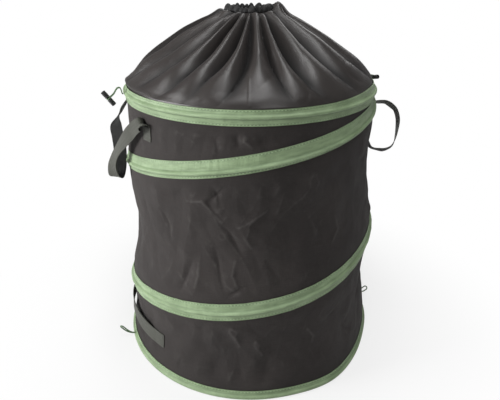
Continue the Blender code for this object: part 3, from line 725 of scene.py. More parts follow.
for side, turn, shares, (out, along, up) in (
    ("left", LEFT, LEFT_CORD, (-0.58, 0, -0.81)),
    ("right", RIGHT_TOGGLE, RIGHT_CORD, (0.2, 1, 0.2)),
):
    route = cord_route(turn, TOGGLE_START, TOP, shares, TOGGLE_REACH, 10)
    ahead = (route[-1] - route[-2]).normalized()
    axis = outward(turn) * out + sideways(turn) * along + Vector((0, 0, up))
    axis = (axis - ahead * axis.dot(ahead)).normalized()
    across = ahead.cross(axis)
    toggle_bar(side + "_toggle_bar", route[-1], across, ahead, axis, side + "_toggle", side + "_toggle")
    points = hairpin(route, across, TIE * 0.7, 0.0022 + GAP + TIE / 2)
    free_cord(side + "_toggle_tie", points, TIE, side + "_toggle", side + "_toggle_cord")

for side, turn, shares in (("left", LEFT, LEFT_LOOP), ("right", RIGHT_TOGGLE, RIGHT_LOOP)):
    route = cord_route(turn, ELASTIC_START, 0.0065, shares, ELASTIC_REACH, 8)
    ahead = (route[-1] - route[-2]).normalized()
    across = (sideways(turn) + ahead.cross(sideways(turn))).normalized()
    points = hairpin(route, across, LOOP * 0.6, 0.0038)
    free_cord(side + "_loop", points, LOOP, side + "_elastic", side + "_elastic_loop")

# Wall

# Creases, those of the front as they are seen: depth and width in mm, then (azimuth, height in mm)
# along each
CREASES = (
    (-2.6, 9, (-94, 494), (-95, 472), (-93.5, 458)),
    (1.8, 8, (-91.8, 492), (-92, 470), (-88, 455)),
    (-2, 8, (-101.2, 487), (-103.2, 470), (-102, 448), (-104.5, 436)),
    (-2.2, 10, (-105.5, 397), (-102.5, 370), (-101.5, 352)),
    (-2.4, 9, (-98.5, 398), (-103, 377), (-108, 358)),
    (2, 9, (-117, 357), (-109, 362), (-104, 341), (-101.5, 327)),
    (-3.2, 11, (-107, 362), (-104, 342), (-100.5, 331)),
    (2.8, 12, (-82.2, 351), (-87, 338), (-91.5, 323), (-95.5, 318)),
    (-3.6, 12, (-102.5, 324), (-98.5, 310), (-95.8, 288), (-92.8, 266)),
    (2.2, 12, (-90.5, 322), (-92, 300), (-89, 278)),
    (-3, 11, (-104.8, 283), (-103, 250), (-101.6, 220), (-99.8, 192)),
    (-3, 10, (-114, 250), (-117.2, 215), (-121.2, 177)),
    (1.8, 14, (-111, 262), (-111.5, 225), (-113, 196)),
    (-2.4, 8, (-99.5, 191), (-96, 203), (-92.6, 213)),
    (2, 12, (-96, 262), (-97, 232), (-94.5, 205)),
    (-1.8, 10, (-84, 262), (-80, 232), (-76.5, 212)),
    (2.2, 9, (-98.5, 142), (-96, 116), (-94, 93)),
    (-1.8, 9, (-101.2, 166), (-106, 142), (-112, 118)),
    (1.6, 8, (-88, 112), (-86.6, 92), (-84.5, 76)),
    (-3.2, 10, (-46, 90), (-42, 74), (-36, 56)),
    (1.8, 9, (-66, 120), (-62.5, 100), (-63, 84)),
    (-2.4, 12, (-132, 330), (-127, 300), (-126, 262)),
    (-2, 12, (-64, 330), (-60, 300), (-61, 270)),
    (1.6, 12, (-52, 320), (-50, 290), (-54, 262)),
    (-2, 12, (-138, 420), (-133, 400), (-126, 388)),
    (2.4, 14, (-22, 300), (-16, 282), (-12, 250)),
    (-3.4, 14, (-30, 96), (-22, 112), (-12, 120)),
    (-2.6, 12, (120, 420), (112, 380), (116, 330)),
    (2.2, 12, (104, 400), (98, 360), (92, 340)),
    (-3, 13, (70, 330), (76, 290), (84, 262)),
    (2.6, 12, (60, 250), (52, 222), (54, 190)),
    (-2.4, 11, (140, 220), (134, 190), (128, 176)),
    (-2.8, 12, (150, 340), (156, 300), (154, 268)),
    (2.2, 10, (90, 150), (94, 118), (88, 90)),
    (-2.6, 12, (20, 340), (14, 310), (18, 276)),
    (2, 10, (36, 130), (30, 104), (26, 84)),
    (-2.2, 10, (172, 150), (166, 120), (170, 92)),
)


def crease_field(azimuth, heights):
    """Sum of the listed creases over a grid of azimuths (degrees) and heights (m)."""
    x = np.radians(azimuth)[:, None] * RING
    z = heights
    total = np.zeros((len(azimuth), len(heights)))
    for depth, width, *run in CREASES:
        best = np.full(total.shape, 9.0)
        taper = np.zeros(total.shape)
        lengths = []
        ends = [(math.radians(a) * RING, h / 1000) for a, h in run]
        for (x0, z0), (x1, z1) in zip(ends, ends[1:]):
            lengths.append(math.hypot(x1 - x0, z1 - z0))
        whole = sum(lengths)
        done = 0
        for (x0, z0), (x1, z1), length in zip(ends, ends[1:], lengths):
            for shift in (0, -math.tau * RING, math.tau * RING):
                t = ((x - x0 - shift) * (x1 - x0) + (z - z0) * (z1 - z0)) / length**2
                t = clamp(t)
                gap = np.hypot(x - x0 - shift - t * (x1 - x0), z - z0 - t * (z1 - z0))
                at = (done + t * length) / whole
                nearer = gap < best
                best = np.where(nearer, gap, best)
                taper = np.where(nearer, np.sin(math.pi * clamp(at * 0.94 + 0.03)) ** 0.6, taper)
            done += length
        reach = width / 1000
        total += depth / 1000 * taper * np.exp(-best / reach * (0.4 + 0.9 * taper)) * (best < 5 * reach)
    return total


# Folds round the wall, how fast they climb and their depth in mm
CRUMPLES = ((13, 31, 2.4), (-17, 44, 2.0), (24, -19, 1.7), (-9, -58, 1.9), (31, 52, 1.3), (-38, 27, 1.0))


def crumple(azimuth, heights, flat):
    """Straight crisp folds of stiff cloth, crossing in patches."""
    around = np.radians(azimuth)[:, None]
    bend = fields(flat, 7.0, 2, 12.4)
    total = np.zeros(bend.shape)
    for k, (count, rise, depth) in enumerate(CRUMPLES):
        phase = (count * around + rise * heights + 2.6 * bend + 1.7 * k) / math.tau
        fold = np.abs((phase % 1) - 0.5) * 2 - 0.5
        patch = smooth(fields(flat, 8.5, 1, 20.0 + 3.3 * k) * 2.4 + 0.35)
        total += fold * patch * depth / 1000
    return total


# Places where webbing is sewn flat on the wall: azimuth and height
SEWN = (
    *((place, 0.462) for place in (-182, -138, 50, 6)),
    *((place, LOWER_HEIGHT) for place in (-131, -189)),
)


def held_flat(azimuth, heights):
    held = np.zeros((len(azimuth), len(heights)))
    for at, level in SEWN:
        across = np.radians(round_from(at, azimuth))[:, None] * RING / PATCH
        up = (heights - level) / 0.028
        held = np.maximum(held, np.exp(-(across**4) - up**4))
    return held


def make_wall():
    columns = 720
    rows = 236
    heights = np.linspace(0.0024, 0.515, rows)
    turns = np.arange(columns) / columns
    azimuth = round_from(0, -360 * turns)
    base = np.empty((columns, rows))
    free = np.empty((columns, rows))
    for i, turn in enumerate(turns):
        radius, away = wall_base(turn, heights)
        base[i] = radius
        free[i] = smooth((away - 0.013) / 0.03)
    flat = on_turn(turns[:, None], base, heights)
    soft = fields(flat, 9.0, 2, 3.1) * 0.0034
    fine = fields(flat, 30.0, 2, 7.7) * 0.0011
    folds = ridged(flat, 11.0, 1.7) ** 2 * ridged(flat, 5.0, 9.2) * -0.0016
    front = bell(round_from(-104, azimuth) / 42)[:, None]
    sharp = crumple(azimuth, heights, flat) * (0.7 + 0.6 * front)
    move = soft + fine + folds + sharp + 1.5 * crease_field(azimuth, heights)
    move = np.minimum(move * free * (1 - held_flat(azimuth, heights)), 0.0035)
    low_edge = smooth((heights - 0.013) / 0.02)
    high_edge = smooth((0.494 - heights) / 0.02)
    # Behind the top tape the cloth is drawn in, so that it clears the tape when the bag is folded
    tucked = 0.0016 * smooth((heights - 0.4958) / 0.004)
    radius = base + move * low_edge * high_edge - tucked
    outer = on_turn(turns[:, None], radius, heights, True)
    bare = radius - base + tucked
    near = np.roll(bare, 2, 0) + np.roll(bare, -2, 0) + np.roll(bare, 2, 1) + np.roll(bare, -2, 1)
    worn = clamp((bare - near / 4) * 3200 - 0.25) * low_edge * high_edge
    obj = shell("wall_creased", outer[::-1], 0.0008, True, worn[::-1])
    finish_piece(obj, WALL, "wall_cloth", "drum", "wall_fabric")
    low(obj)
    return obj


wall = make_wall()


# Casing tapes


def tape_surface(turn, heights, wires, ferrule):
    """Outside radius of a tape over the wall and the wires."""
    heights = np.asarray(heights, float)
    seat = wall_base(turn, heights)[0] + 2 * GAP
    lift = np.zeros(len(heights))
    for wire in wires:
        gap = np.abs(heights - wire)
        lift = np.maximum(lift, bell(np.maximum(gap - 0.0011, 0) / 0.0024))
    away = abs((turn - ferrule + 0.5) % 1 - 0.5)
    crown = TAPE_R + 0.0009 * smooth((0.055 - away) / 0.03)
    return mix(seat, crown, lift) + 0.001


def channel_lines(heights, wires, low_edge, high_edge):
    """How near each height is to the sewn channels, under the tape's edges and beside the wire: the tape is
    dented there and darkened with painted shade.
    """
    edge = np.minimum(heights - low_edge, high_edge - heights)
    lines = bell((edge - 0.0026) / 0.0008) * 0.8
    for wire in wires:
        lines = np.maximum(lines, bell((wire - heights - 0.0042) / 0.0010))
        lines = np.maximum(lines, bell((wire - heights + 0.0042) / 0.0008) * 0.55)
    return lines


def tape_piece(name, turns, spans, around, ferrule, node, body, folds=False):
    grid = []
    shade = []
    for turn, (low_edge, high_edge) in zip(turns, spans):
        heights = np.linspace(low_edge, high_edge, 34)
        wires = passes(turn)
        radius = tape_surface(turn, heights, wires, ferrule)
        lines = channel_lines(heights, wires, low_edge, high_edge)
        grid.append(on_turn(turn, radius - 0.00045 * lines, heights, True))
        # The channels' nearness is kept for the tape's painted shade
        shade.append(lines)
    grid = np.array(grid)
    push = fields(grid, 70.0, 2, 5.5) * 0.0007
    middle = np.linalg.norm(grid[..., :2], axis=2)
    scale = 1 + push * 0.7 / middle
    grid[..., 0] *= scale
    grid[..., 1] *= scale
    obj = shell(name, grid[::-1], 0.0009, around, shade[::-1])
    finish_piece(obj, TAPE, "casing_tape", body, node)
    if folds:
        low(obj)
    return grid


STITCH_PITCH = 0.0058
STITCH_LENGTH = 0.0038


def stitched(name, grid, places, body, folds=False):
    """Rows of stitches along a grid, each at a share of its width."""
    ends = []
    for place in places:
        column = place * (grid.shape[1] - 1)
        i = int(column)
        line = mix(grid[:, i], grid[:, min(i + 1, grid.shape[1] - 1)], column - i)
        run = run_of(line)
        for middle in np.arange(STITCH_PITCH, run[-1] - STITCH_PITCH, STITCH_PITCH):
            at = (middle - STITCH_LENGTH / 2, middle + STITCH_LENGTH / 2)
            ends.append(np.stack([np.interp(at, run, line[:, k]) for k in range(3)], -1))
    obj = finish_piece(rods(name, ends, 0.00036), THREAD, "casing_tape", body)
    if folds:
        low(obj)


ring_turns = np.arange(720) / 720
rumpled = bell(round_from(-24, -360 * ring_turns) / 22)
top_grid = tape_piece(
    "top_casing",
    ring_turns,
    [(TOP - TAPE_W / 2, TOP + 0.0115 + 0.005 * more) for more in rumpled],
    True,
    UPPER_FERRULE,
    "top_tape",
    "top_ring",
)
stitched("top_casing_stitches", top_grid, (0.085, 0.92), "top_ring")


# How far the spiral tape is sewn off its line (mm), at turns down the wall
SHIFT_TURNS = (0, 0.08, 0.2, 0.32, 1.0, 1.1, 1.24, 1.36, 1.46, 1.6)
SHIFTS = (0, 2.2, 2.0, 0, -4, -3, 0, -2, -2, 0)


def spiral_span(turn):
    shift = np.interp(turn, SHIFT_TURNS, SHIFTS) / 1000
    middle = float(wire_height(turn)) + mix(0.0075, 0.0025, min(max(turn, 0), 1)) + shift
    return max(middle - TAPE_W / 2, 0.015 + GAP), min(middle + TAPE_W / 2, TOP - TAPE_W / 2 - GAP)


spiral_turns = []
spiral_spans = []
for k in range(math.ceil(WIRE_START * 720), math.floor(WIRE_END * 720)):
    low_edge, high_edge = spiral_span(k / 720)
    if high_edge - low_edge < TAPE_W / 3:
        continue
    spiral_turns.append(k / 720)
    spiral_spans.append((low_edge, high_edge))
spiral_grid = tape_piece(
    "spiral_casing", spiral_turns, spiral_spans, False, UPPER_FERRULE, "spiral_tape", "drum", True
)
stitched("spiral_casing_stitches", spiral_grid, (0.085, 0.915), "drum", True)


def make_bottom_tape():
    grid = []
    shade = []
    for turn in ring_turns:
        away = abs((turn - LOWER_FERRULE + 0.5) % 1 - 0.5)
        bulge = TAPE_R + 0.001 + 0.0009 * smooth((0.055 - away) / 0.03)
        heights = np.linspace(0.0034, 0.0142, 14)
        side = tape_surface(turn, heights, [BOTTOM], LOWER_FERRULE)
        arc = np.linspace(0, math.pi / 2, 7)[:-1]
        radii = list(np.linspace(0.2362, bulge - 0.0034, 5)) + list(bulge - 0.0034 + 0.0034 * np.sin(arc[1:]))
        rise = [0.0] * 5 + list(0.0034 - 0.0034 * np.cos(arc[1:]))
        levels = np.array(rise + list(heights))
        grid.append(on_turn(turn, np.array(radii + list(side)), levels, True))
        # The channels' nearness is kept for the tape's painted shade
        shade.append(channel_lines(levels, [BOTTOM], -1.0, heights[-1]))
    grid = np.array(grid)
    obj = shell("bottom_binding", grid[::-1], 0.0009, True, shade[::-1])
    finish_piece(obj, TAPE, "casing_tape", "drum", "bottom_tape")
    return grid


bottom_grid = make_bottom_tape()
stitched("bottom_binding_stitches", bottom_grid, (0.89,), "drum")

# Spring wire, base panel


def make_wire():
    """The wire in three runs end to end: the top ring, the spiral, and the foot ring."""
    turns = np.linspace(WIRE_START, WIRE_END, 1200)
    route = on_turn(turns, RING, wire_height(turns), True)
    first = int(np.argmax(route[:, 2] < FOLD_TOP))
    last = int(np.argmax(route[:, 2] < FOLD_FOOT))
    for name, start, end, body in (
        ("spring_top_ring", 0, first, "top_ring"),
        ("spring_coil", first, last, "drum"),
        ("spring_foot_ring", last, len(route) - 1, "drum"),
    ):
        obj = tube(name, route[start : end + 1], WIRE / 2, 10)
        finish_piece(obj, STEEL, "spring_steel", body, "spring_wire")
        if name == "spring_coil":
            low(obj)


make_wire()
for name in ("upper_ferrule", "lower_ferrule"):
    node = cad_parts[name]
    node.data.materials.clear()
    node.data.materials.append(STEEL)


def make_base():
    """The base cloth: flat on the ground, lifted at its edge over the binding."""
    turns = np.arange(240) / 240
    radii = np.concatenate([[0.002], np.linspace(0.012, 0.231, 44), np.linspace(0.2345, 0.2472, 7)])
    height = 0.0008 + 0.0013 * smooth((radii - 0.2330) / 0.0026)
    grid = on_turn(turns[:, None], radii + 0 * turns[:, None], height)
    edge = out_of_round(turns, 0.0)[:, None] * smooth((radii - 0.12) / 0.11)
    grid[..., :2] *= (1 + edge / radii)[..., None]
    lift = ridged(grid, 9.0, 2.2) ** 2 * 0.0012 + np.abs(fields(grid, 14.0, 2, 8.8)) * 0.0008
    lift = lift * smooth((0.232 - radii) / 0.02)
    grid[..., 2] += lift
    thick = 0.0008 + lift * 0.6
    obj = shell("base_cloth", grid[::-1, ::-1], thick[::-1, ::-1], True, 0 * thick)
    finish_piece(obj, WALL, "wall_cloth", "drum", "base_panel")


make_base()

# Skirt

MOUTH = 0.660
FOOT = 0.525
SKIRT_R = (1.0, 0.955, 0.835, 0.645, 0.41, 0.185, 0.02)
SKIRT_H = (0.0, 0.13, 0.345, 0.55, 0.785, 0.96, 1.0)
SKIRT_FOOT_R = WALL_R - 0.002 - RING * (1 - math.cos(math.pi / 48))
CORD_RING = 0.044
NECK = CORD_RING + 0.0026 + 0.0008

# Shoulders of the cloth round the gathers, highest at the right and at the left: azimuth, half span, height
SHOULDERS = ((12, 34, 0.0135), (52, 26, 0.008), (-27, 15, 0.0170), (178, 34, 0.0045), (-150, 22, 0.003))

# Valleys of the folds: azimuths at the mouth, at two thirds, at one third and at the foot, and depth
VALLEYS = (
    ((-121, -143, -155, -166), 1.05),
    ((-114, -122, -138, -149), 0.95),
    ((-105, -114, -121, -131), 1.2),
    ((-93, -99, -109, -117), 1.15),
    ((-89, -90.3, -95, -103), 1.25),
    ((-74, -77.8, -76.8, -71), 0.95),
    ((-62, -69, -66, -58.5), 1.2),
    ((-42, -46, -43.5, -37), 1),
    ((-25, -22, -19, -16), 0.8),
    ((-7, -3, 0, 3), 1),
    ((14, 17, 21, 24), 0.8),
    ((33, 39, 42, 47), 1.1),
    ((55, 61, 66, 69), 0.8),
    ((76, 80, 83, 84), 1.1),
    ((97, 101, 104, 109), 0.9),
    ((119, 122, 127, 131), 1.15),
    ((140, 146, 149, 152), 0.8),
    ((163, 168, 171, 176), 1),
    ((205, 197, 191, 184), 0.9),
)


def make_skirt():
    columns = 960
    rows = 84
    share = np.linspace(0, 1, rows)
    radius = mix(NECK, SKIRT_FOOT_R, curve_list(SKIRT_R, share))
    height = mix(FOOT, MOUTH - GAP, curve_list(SKIRT_H, share))
    azimuth = -180 + 360 * np.arange(columns) / columns
    at = np.array([curve_list(v[::-1], share) for v, _ in VALLEYS])
    strength = np.array([s for _, s in VALLEYS])
    order = np.argsort(at[:, 0])
    at = at[order]
    strength = strength[order]
    force = strength[[-1, *range(len(strength)), 0]]
    wave = np.zeros((columns, rows))
    for j in range(rows):
        edges = np.concatenate([[at[-1, j] - 360], at[:, j], [at[0, j] + 360]])
        k = np.clip(np.searchsorted(edges, azimuth, side="right") - 1, 0, len(edges) - 2)
        t = clamp((azimuth - edges[k]) / (edges[k + 1] - edges[k]))
        crown = np.sin(math.pi * t) ** (0.78 + 0.12 * share[j])
        side = np.where(t < 0.5, force[k], force[k + 1])
        width = (edges[k + 1] - edges[k]) / 19
        wave[:, j] = -(1 - crown) * side * np.minimum(width, 1.35) ** 0.5
    depth = 0.030 * curve_list((0.0, 0.13, 0.44, 0.86, 1.0, 0.68, 0.18), share)
    gather = np.abs(np.sin(np.radians(azimuth) * 13 + 0.7 * np.sin(np.radians(azimuth) * 4)))[:, None] - 0.6
    gather = gather * smooth((share - 0.66) / 0.3) * 0.0052
    flat = on_turn(-azimuth[:, None] / 360, radius, height)
    soft = fields(flat, 11.0, 2, 2.5) * 0.0030
    crisp = ridged(flat, 9.0, 6.1) ** 2 * -0.0012
    pinned = smooth(share / 0.12) * smooth((1 - share) / 0.08)
    move = wave * depth + (soft + crisp) * pinned + gather
    slope_r = np.gradient(radius)
    slope_h = np.gradient(height)
    long = np.hypot(slope_r, slope_h)
    out_r = slope_h / long
    out_h = -slope_r / long
    r = radius + move * out_r
    h = height + move * (out_h * (1 - share**4))
    shoulder = 0.0035 * (0.5 + 0.5 * np.sin(np.radians(azimuth) * 13 + 1.3))
    for place, width, tall in SHOULDERS:
        shoulder += tall * bell(round_from(place, azimuth) / width)
    h += shoulder[:, None] * bell((share - 0.93) / 0.055)
    # The cloth bags out over the tape at the left, and a seam runs down the front
    puffed = bell(round_from(-172, azimuth) / 26)
    r += 0.0055 * puffed[:, None] * bell((share - 0.07) / 0.055)
    seam = smooth(share / 0.05) * smooth((0.95 - share) / 0.1)
    r += 0.0009 * bell((azimuth + 90.4) / 0.4)[:, None] * seam
    r[:, 0] = radius[0]
    # Its foot stands inside the top tape
    foot = np.zeros((columns, 3))
    r = np.hstack([foot + radius[0] + (0.0012, 0.0006, 0), r])
    h = np.hstack([foot + (0.5156, 0.5190, 0.5222), h])
    # How deep each point lies in a valley of the folds, kept for the material's painted shade
    painted_valley_shade = np.hstack([foot, clamp((-wave - 0.28) / 0.6) * smooth(share / 0.3)])
    obj = shell("skirt_gathered", on_turn(-azimuth[:, None] / 360, r, h), 0.0006, True, painted_valley_shade)
    finish_piece(obj, SKIRT, "skirt_cloth", "top_ring", "skirt")
    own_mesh(obj)
    return obj


skirt = make_skirt()


def make_hem():
    """The ruffled casing of the drawcord: a tight row of small loops."""
    columns = 720
    angle = np.linspace(0, math.tau, columns, endpoint=False)
    phase = angle * 24 + 1.4 * np.sin(angle * 5) + 0.9 * np.sin(angle * 9 + 1)
    ruffle = np.abs(np.sin(phase / 2)) ** 0.8
    uneven = 1.0 + 0.45 * np.sin(angle * 7 + 2) + 0.25 * np.sin(angle * 3 + 0.5)
    grid = []
    around = np.linspace(-0.15 * math.pi, 1.15 * math.pi, 20)
    for a, s, u in zip(angle, ruffle, uneven):
        swell = (s - 0.35) * 0.0068 * u
        width = 0.0040 + max(swell, 0) * 0.5
        tall = 0.0072 + swell
        r = CORD_RING - width * np.cos(around)
        z = 0.6605 + np.maximum(np.sin(around), -0.05) * tall + 0.0002
        grid.append(np.stack([-r * math.cos(a), -r * math.sin(a), z], -1))
    grid = np.array(grid)
    obj = shell("mouth_ruffle", grid, 0.0008, True)
    finish_piece(obj, HEM, "hem_cloth", "mouth", "mouth_hem")
    turns = np.linspace(0, 1, 361)[:-1]
    cord = tube("drawcord_braid", on_turn(turns, CORD_RING, 0.6622), 0.002, 12, True, BRAID)
    finish_piece(cord, BLACK_CORD, "black_cord", "mouth", "drawcord")


make_hem()

# Handles: share of the half span, how far out, how far down, and which way the strap's width lies
# (out, round, up)

LEFT_HANDLE = (
    (-1, 0.03, 0, (0, 1, 0)),
    (-1, 0.045, -0.025, (0, 1, 0)),
    (-1, 0.19, -0.042, (0, 1, 0)),
    (-0.94, 0.28, -0.03, (0.12, 0.9, 0.3)),
    (-0.8, 0.3, 0.03, (0.1, 0.58, 0.8)),
    (-0.58, 0.32, 0.14, (0.35, 0.56, 0.74)),
    (-0.38, 0.45, 0.275, (0.16, 0.69, 0.71)),
    (-0.22, 0.63, 0.41, (0.02, 0.81, 0.55)),
    (-0.11, 0.79, 0.55, (0.16, 0.88, 0.35)),
    (-0.05, 0.87, 0.69, (0.46, 0.82, 0.15)),
    (0.01, 0.8, 0.83, (0.7, 0.65, 0)),
    (0.06, 0.62, 0.865, (0.8, 0.5, 0)),
    (0.11, 0.52, 0.79, (0.9, 0.3, 0)),
    (0.2, 0.46, 0.67, (0.95, 0.15, 0)),
    (0.36, 0.46, 0.53, (0.9, 0.1, -0.2)),
    (0.52, 0.57, 0.39, (0.8, 0.1, -0.45)),
    (0.62, 0.66, 0.28, (0.85, 0.2, -0.3)),
    (0.7, 0.62, 0.18, (0.48, 0.77, -0.42)),
    (0.8, 0.48, 0.1, (0.18, 0.76, -0.62)),
    (0.91, 0.32, 0.02, (0.2, 0.78, -0.58)),
    (1, 0.17, -0.042, (0, 1, 0)),
    (1, 0.045, -0.025, (0, 1, 0)),
    (1, 0.03, 0, (0, 1, 0)),
)
RIGHT_HANDLE = (
    (-1, 0.03, 0, (0, 1, 0)),
    (-1, 0.045, -0.025, (0, 1, 0)),
    (-1, 0.17, -0.042, (0, 1, 0)),
    (-0.94, 0.33, -0.035, (0.1, 0.8, 0.4)),
    (-0.75, 0.47, 0.01, (-0.3, 0.35, 0.85)),
    (-0.3, 0.62, 0.08, (-0.6, 0.25, 0.7)),
    (0.15, 0.74, 0.125, (-0.85, 0.3, 0.5)),
    (0.5, 0.85, 0.13, (-0.92, 0.3, 0.38)),
    (0.7, 0.97, 0.1, (-0.9, 0.32, 0.36)),
    (0.78, 1.1, 0.085, (-0.7, 0.53, 0.48)),
    (0.84, 1.28, 0.09, (-0.36, 0.71, 0.61)),
    (0.89, 1.47, 0.125, (-0.14, 0.82, 0.56)),
    (0.94, 1.64, 0.185, (-0.05, 0.93, 0.36)),
    (0.98, 1.73, 0.31, (-0.05, 0.97, 0.22)),
    (1.01, 1.68, 0.45, (-0.16, 0.97, 0.18)),
    (1.03, 1.59, 0.58, (-0.29, 0.94, 0.17)),
    (1.04, 1.46, 0.69, (-0.39, 0.86, 0.34)),
    (1.05, 1.22, 0.745, (-0.21, 0.84, 0.51)),
    (1.02, 0.85, 0.775, (-0.09, 0.85, 0.53)),
    (0.9, 0.42, 0.755, (0, 0.97, 0.23)),
    (0.74, 0.25, 0.62, (0, 1, 0.1)),
    (0.72, 0.21, 0.4, (0, 1, 0)),
    (0.86, 0.2, 0.2, (0, 1, 0.1)),
    (0.97, 0.19, 0.03, (0, 1, 0)),
    (1, 0.15, -0.042, (0, 1, 0)),
    (1, 0.045, -0.025, (0, 1, 0)),
    (1, 0.03, 0, (0, 1, 0)),
)


WEB_THICK = 0.0014


def strap(middles, widths):
    """One face of webbing along a smooth route."""
    middles = evenly(middles, 240)
    widths = evenly(widths, 240)
    along = np.gradient(middles, axis=0)
    along /= np.linalg.norm(along, axis=1, keepdims=True)
    across = widths - along * np.sum(widths * along, axis=1, keepdims=True)
    across /= np.linalg.norm(across, axis=1, keepdims=True)
    middles = middles + np.cross(along, across) * (WEB_THICK / 2)
    return np.stack([middles + across * (place * WEB / 2) for place in np.linspace(-1, 1, 9)], 1)


def webbing_piece(name, grid, body, node, bevel=True):
    """Webbing from one of its faces, its selvedges rounded if it bends freely."""
    obj = shell(name, grid, WEB_THICK, False)
    if bevel:
        round_edges = obj.modifiers.new("edges", "BEVEL")
        round_edges.width = 0.00035
        round_edges.segments = 2
        round_edges.limit_method = "ANGLE"
        round_edges.angle_limit = math.radians(50)
    return finish_piece(obj, WEBBING, "webbing", body, node)


def handle(name, turn, shares, body, node, painted_shade_side):
    middles = []
    widths = []
    for place, standoff, drop, (w_out, w_side, w_up) in shares:
        here = turn + HANDLE_HALF * place
        radius = float(wall_base(here, [SEAM])[0][0]) + GAP + WEB_THICK / 2
        middles.append(on_turn(here, radius + HANDLE_REACH * standoff, SEAM - HANDLE_DROP * drop))
        widths.append(outward(here) * w_out + sideways(here) * w_side + Vector((0, 0, w_up)))
    grid = strap(middles, widths)
    obj = webbing_piece(name, grid, body, node)
    # One side of the strap takes a near-black copy of the webbing: painted shade for the faces that lie in
    # shadow
    obj.data.materials.append(WEBBING_PAINTED_SHADE)
    quads = (grid.shape[0] - 1) * (grid.shape[1] - 1)
    for k in range(painted_shade_side * quads, (painted_shade_side + 1) * quads):
        obj.data.polygons[k].material_index = 1


handle("left_grip", LEFT, LEFT_HANDLE, "left_handle", "left_handle", 0)
handle("right_grip", RIGHT, RIGHT_HANDLE, "right_handle", "right_handle", 1)


def box_stitches(grid, inset=0.12, pitch=0.0024):
    """Stitches round a patch of a grid and corner to corner over it."""
    nu, nv = grid.shape[:2]
    ends = []

    def at(u, v):
        x = u * (nu - 1)
        y = v * (nv - 1)
        i = min(int(x), nu - 2)
        j = min(int(y), nv - 2)
        a = mix(grid[i, j], grid[i + 1, j], x - i)
        b = mix(grid[i, j + 1], grid[i + 1, j + 1], x - i)
        return mix(a, b, y - j)

    far = 1 - inset
    corners = ((inset, inset), (far, inset), (far, far), (inset, far), (inset, inset), (far, far))
    runs = list(zip(corners, corners[1:])) + [((far, inset), (inset, far))]
    for (u0, v0), (u1, v1) in runs:
        length = np.linalg.norm(at(u0, v0) - at(u1, v1))
        count = max(2, int(length / pitch))
        for k in range(count):
            a = (k + 0.15) / count
            b = (k + 0.85) / count
            ends.append([at(mix(u0, u1, share), mix(v0, v1, share)) for share in (a, b)])
    return ends


def sewn_end(name, turn, body, node):
    half = WEB / 2 / (math.tau * RING)
    turns = np.linspace(turn + half, turn - half, 13)
    heights = np.linspace(SEAM - 0.0006 - PATCH, SEAM - 0.0006, 14)
    grid = []
    for here in turns:
        radius = wall_base(here, heights)[0] + GAP + WEB_THICK
        grid.append(on_turn(here, radius, heights, True))
    grid = np.array(grid)
    webbing_piece(name, grid, body, node)
    obj = rods(name + "_stitches", box_stitches(grid), 0.00032)
    finish_piece(obj, DARK_THREAD, "webbing", body)


for side, turn, front in (("left", LEFT, -1), ("right", RIGHT, 1)):
    for where, sign in (("front", front), ("back", -front)):
        node = side + "_handle_" + where + "_end"
        sewn_end(side + "_patch_" + where, turn + HANDLE_HALF * sign, side + "_seams", node)


def make_lower_handle():
    stations = 150
    sewn = PATCH / (math.tau * RING) / LOWER_HALF
    grid = []
    for i in range(stations):
        place = mix(1, -1, i / (stations - 1))
        here = LEFT + LOWER_HALF * place
        free = max(0.0, (1 - sewn - abs(place)) / (1 - sewn))
        standoff = 0.006 * math.sin(math.pi / 2 * free) ** 0.8
        lift = WEB / 4 * free
        heights = LOWER_HEIGHT + lift + WEB * (np.linspace(0, 1, 9) - 0.5)
        radius = wall_base(here, heights)[0] + GAP + standoff + WEB_THICK
        grid.append(on_turn(here, radius, heights, True))
    grid = np.array(grid)
    obj = webbing_piece("lower_grip", grid, "drum", "lower_handle", bevel=False)
    low(obj)
    count = int(stations * sewn / 2)
    ends = box_stitches(grid[:count]) + box_stitches(grid[-count:])
    obj = rods("lower_grip_stitches", ends, 0.00032)
    low(finish_piece(obj, DARK_THREAD, "webbing", "drum"))


make_lower_handle()

# Floor, light


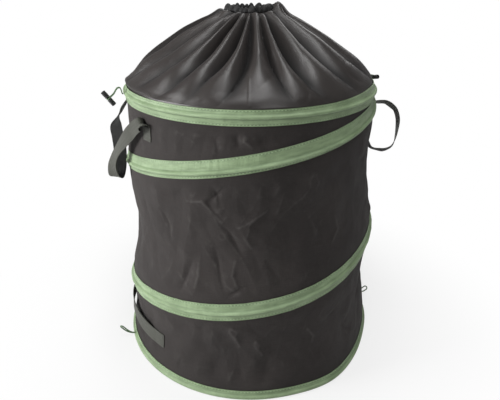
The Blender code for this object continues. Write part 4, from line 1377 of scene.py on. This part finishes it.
def make_floor():
    size = 40
    corners = [(-size, -size, 0), (size, -size, 0), (size, size, 0), (-size, size, 0)]
    obj = mesh_piece("floor", corners, [(0, 1, 2, 3)])
    obj.location.z = -0.0003
    n = Nodes("pale_floor")
    n.set(colour=(0.80, 0.80, 0.80, 1), rough=0.9, specular=0.0)
    glow = n.add("Emission", {"Color": (1, 1, 1, 1), "Strength": 1.0})
    # Plain white away from the object; near it the shading stays, so that its shadow shows
    away = n.add("VectorMath", {0: n.where}, operation="LENGTH").outputs["Value"]
    inputs = {"Value": away, "From Min": 0.26, "From Max": 0.62, "To Min": 0.74, "To Max": 1.0}
    far = n.add("MapRange", inputs, interpolation_type="SMOOTHSTEP")
    seen = n.times(n.add("LightPath").outputs["Is Camera Ray"], far.outputs[0])
    inputs = {0: seen, 1: n.shader.outputs[0], 2: glow.outputs[0]}
    mixer = n.add("MixShader", inputs)
    n.tree.links.new(mixer.outputs[0], n.tree.nodes["Material Output"].inputs["Surface"])
    obj.data.materials.append(n.material)


make_floor()


def lamp(name, place, aim, size, power):
    data = bpy.data.lights.new(name, "AREA")
    data.shape = "RECTANGLE"
    data.size, data.size_y = size
    data.energy = power
    obj = placed(name, data)
    obj.location = place
    obj.rotation_euler = (Vector(aim) - Vector(place)).to_track_quat("-Z", "Y").to_euler()


lamp("key", (-2.4, -0.75, 0.8), (0, 0, 0.35), (0.9, 1.1), 74)
lamp("top", (0.1, -0.7, 2.45), (0, -0.1, 0.55), (0.45, 2.2), 36)
lamp("back", (0.6, 2.0, 1.6), (0, 0, 0.4), (1.6, 1.2), 14)

world = bpy.data.worlds.new("studio")
world.use_nodes = True
tree = world.node_tree
sky = tree.nodes["Background"]
sky.inputs["Color"].default_value = (1, 1, 1, 1)
path = tree.nodes.new("ShaderNodeLightPath")
strength = tree.nodes.new("ShaderNodeMapRange")
strength.inputs["To Min"].default_value = 0.18
strength.inputs["To Max"].default_value = 1.0
tree.links.new(path.outputs["Is Camera Ray"], strength.inputs["Value"])
tree.links.new(strength.outputs[0], sky.inputs["Strength"])
bpy.context.scene.world = world
bpy.context.scene.view_settings.view_transform = "Standard"
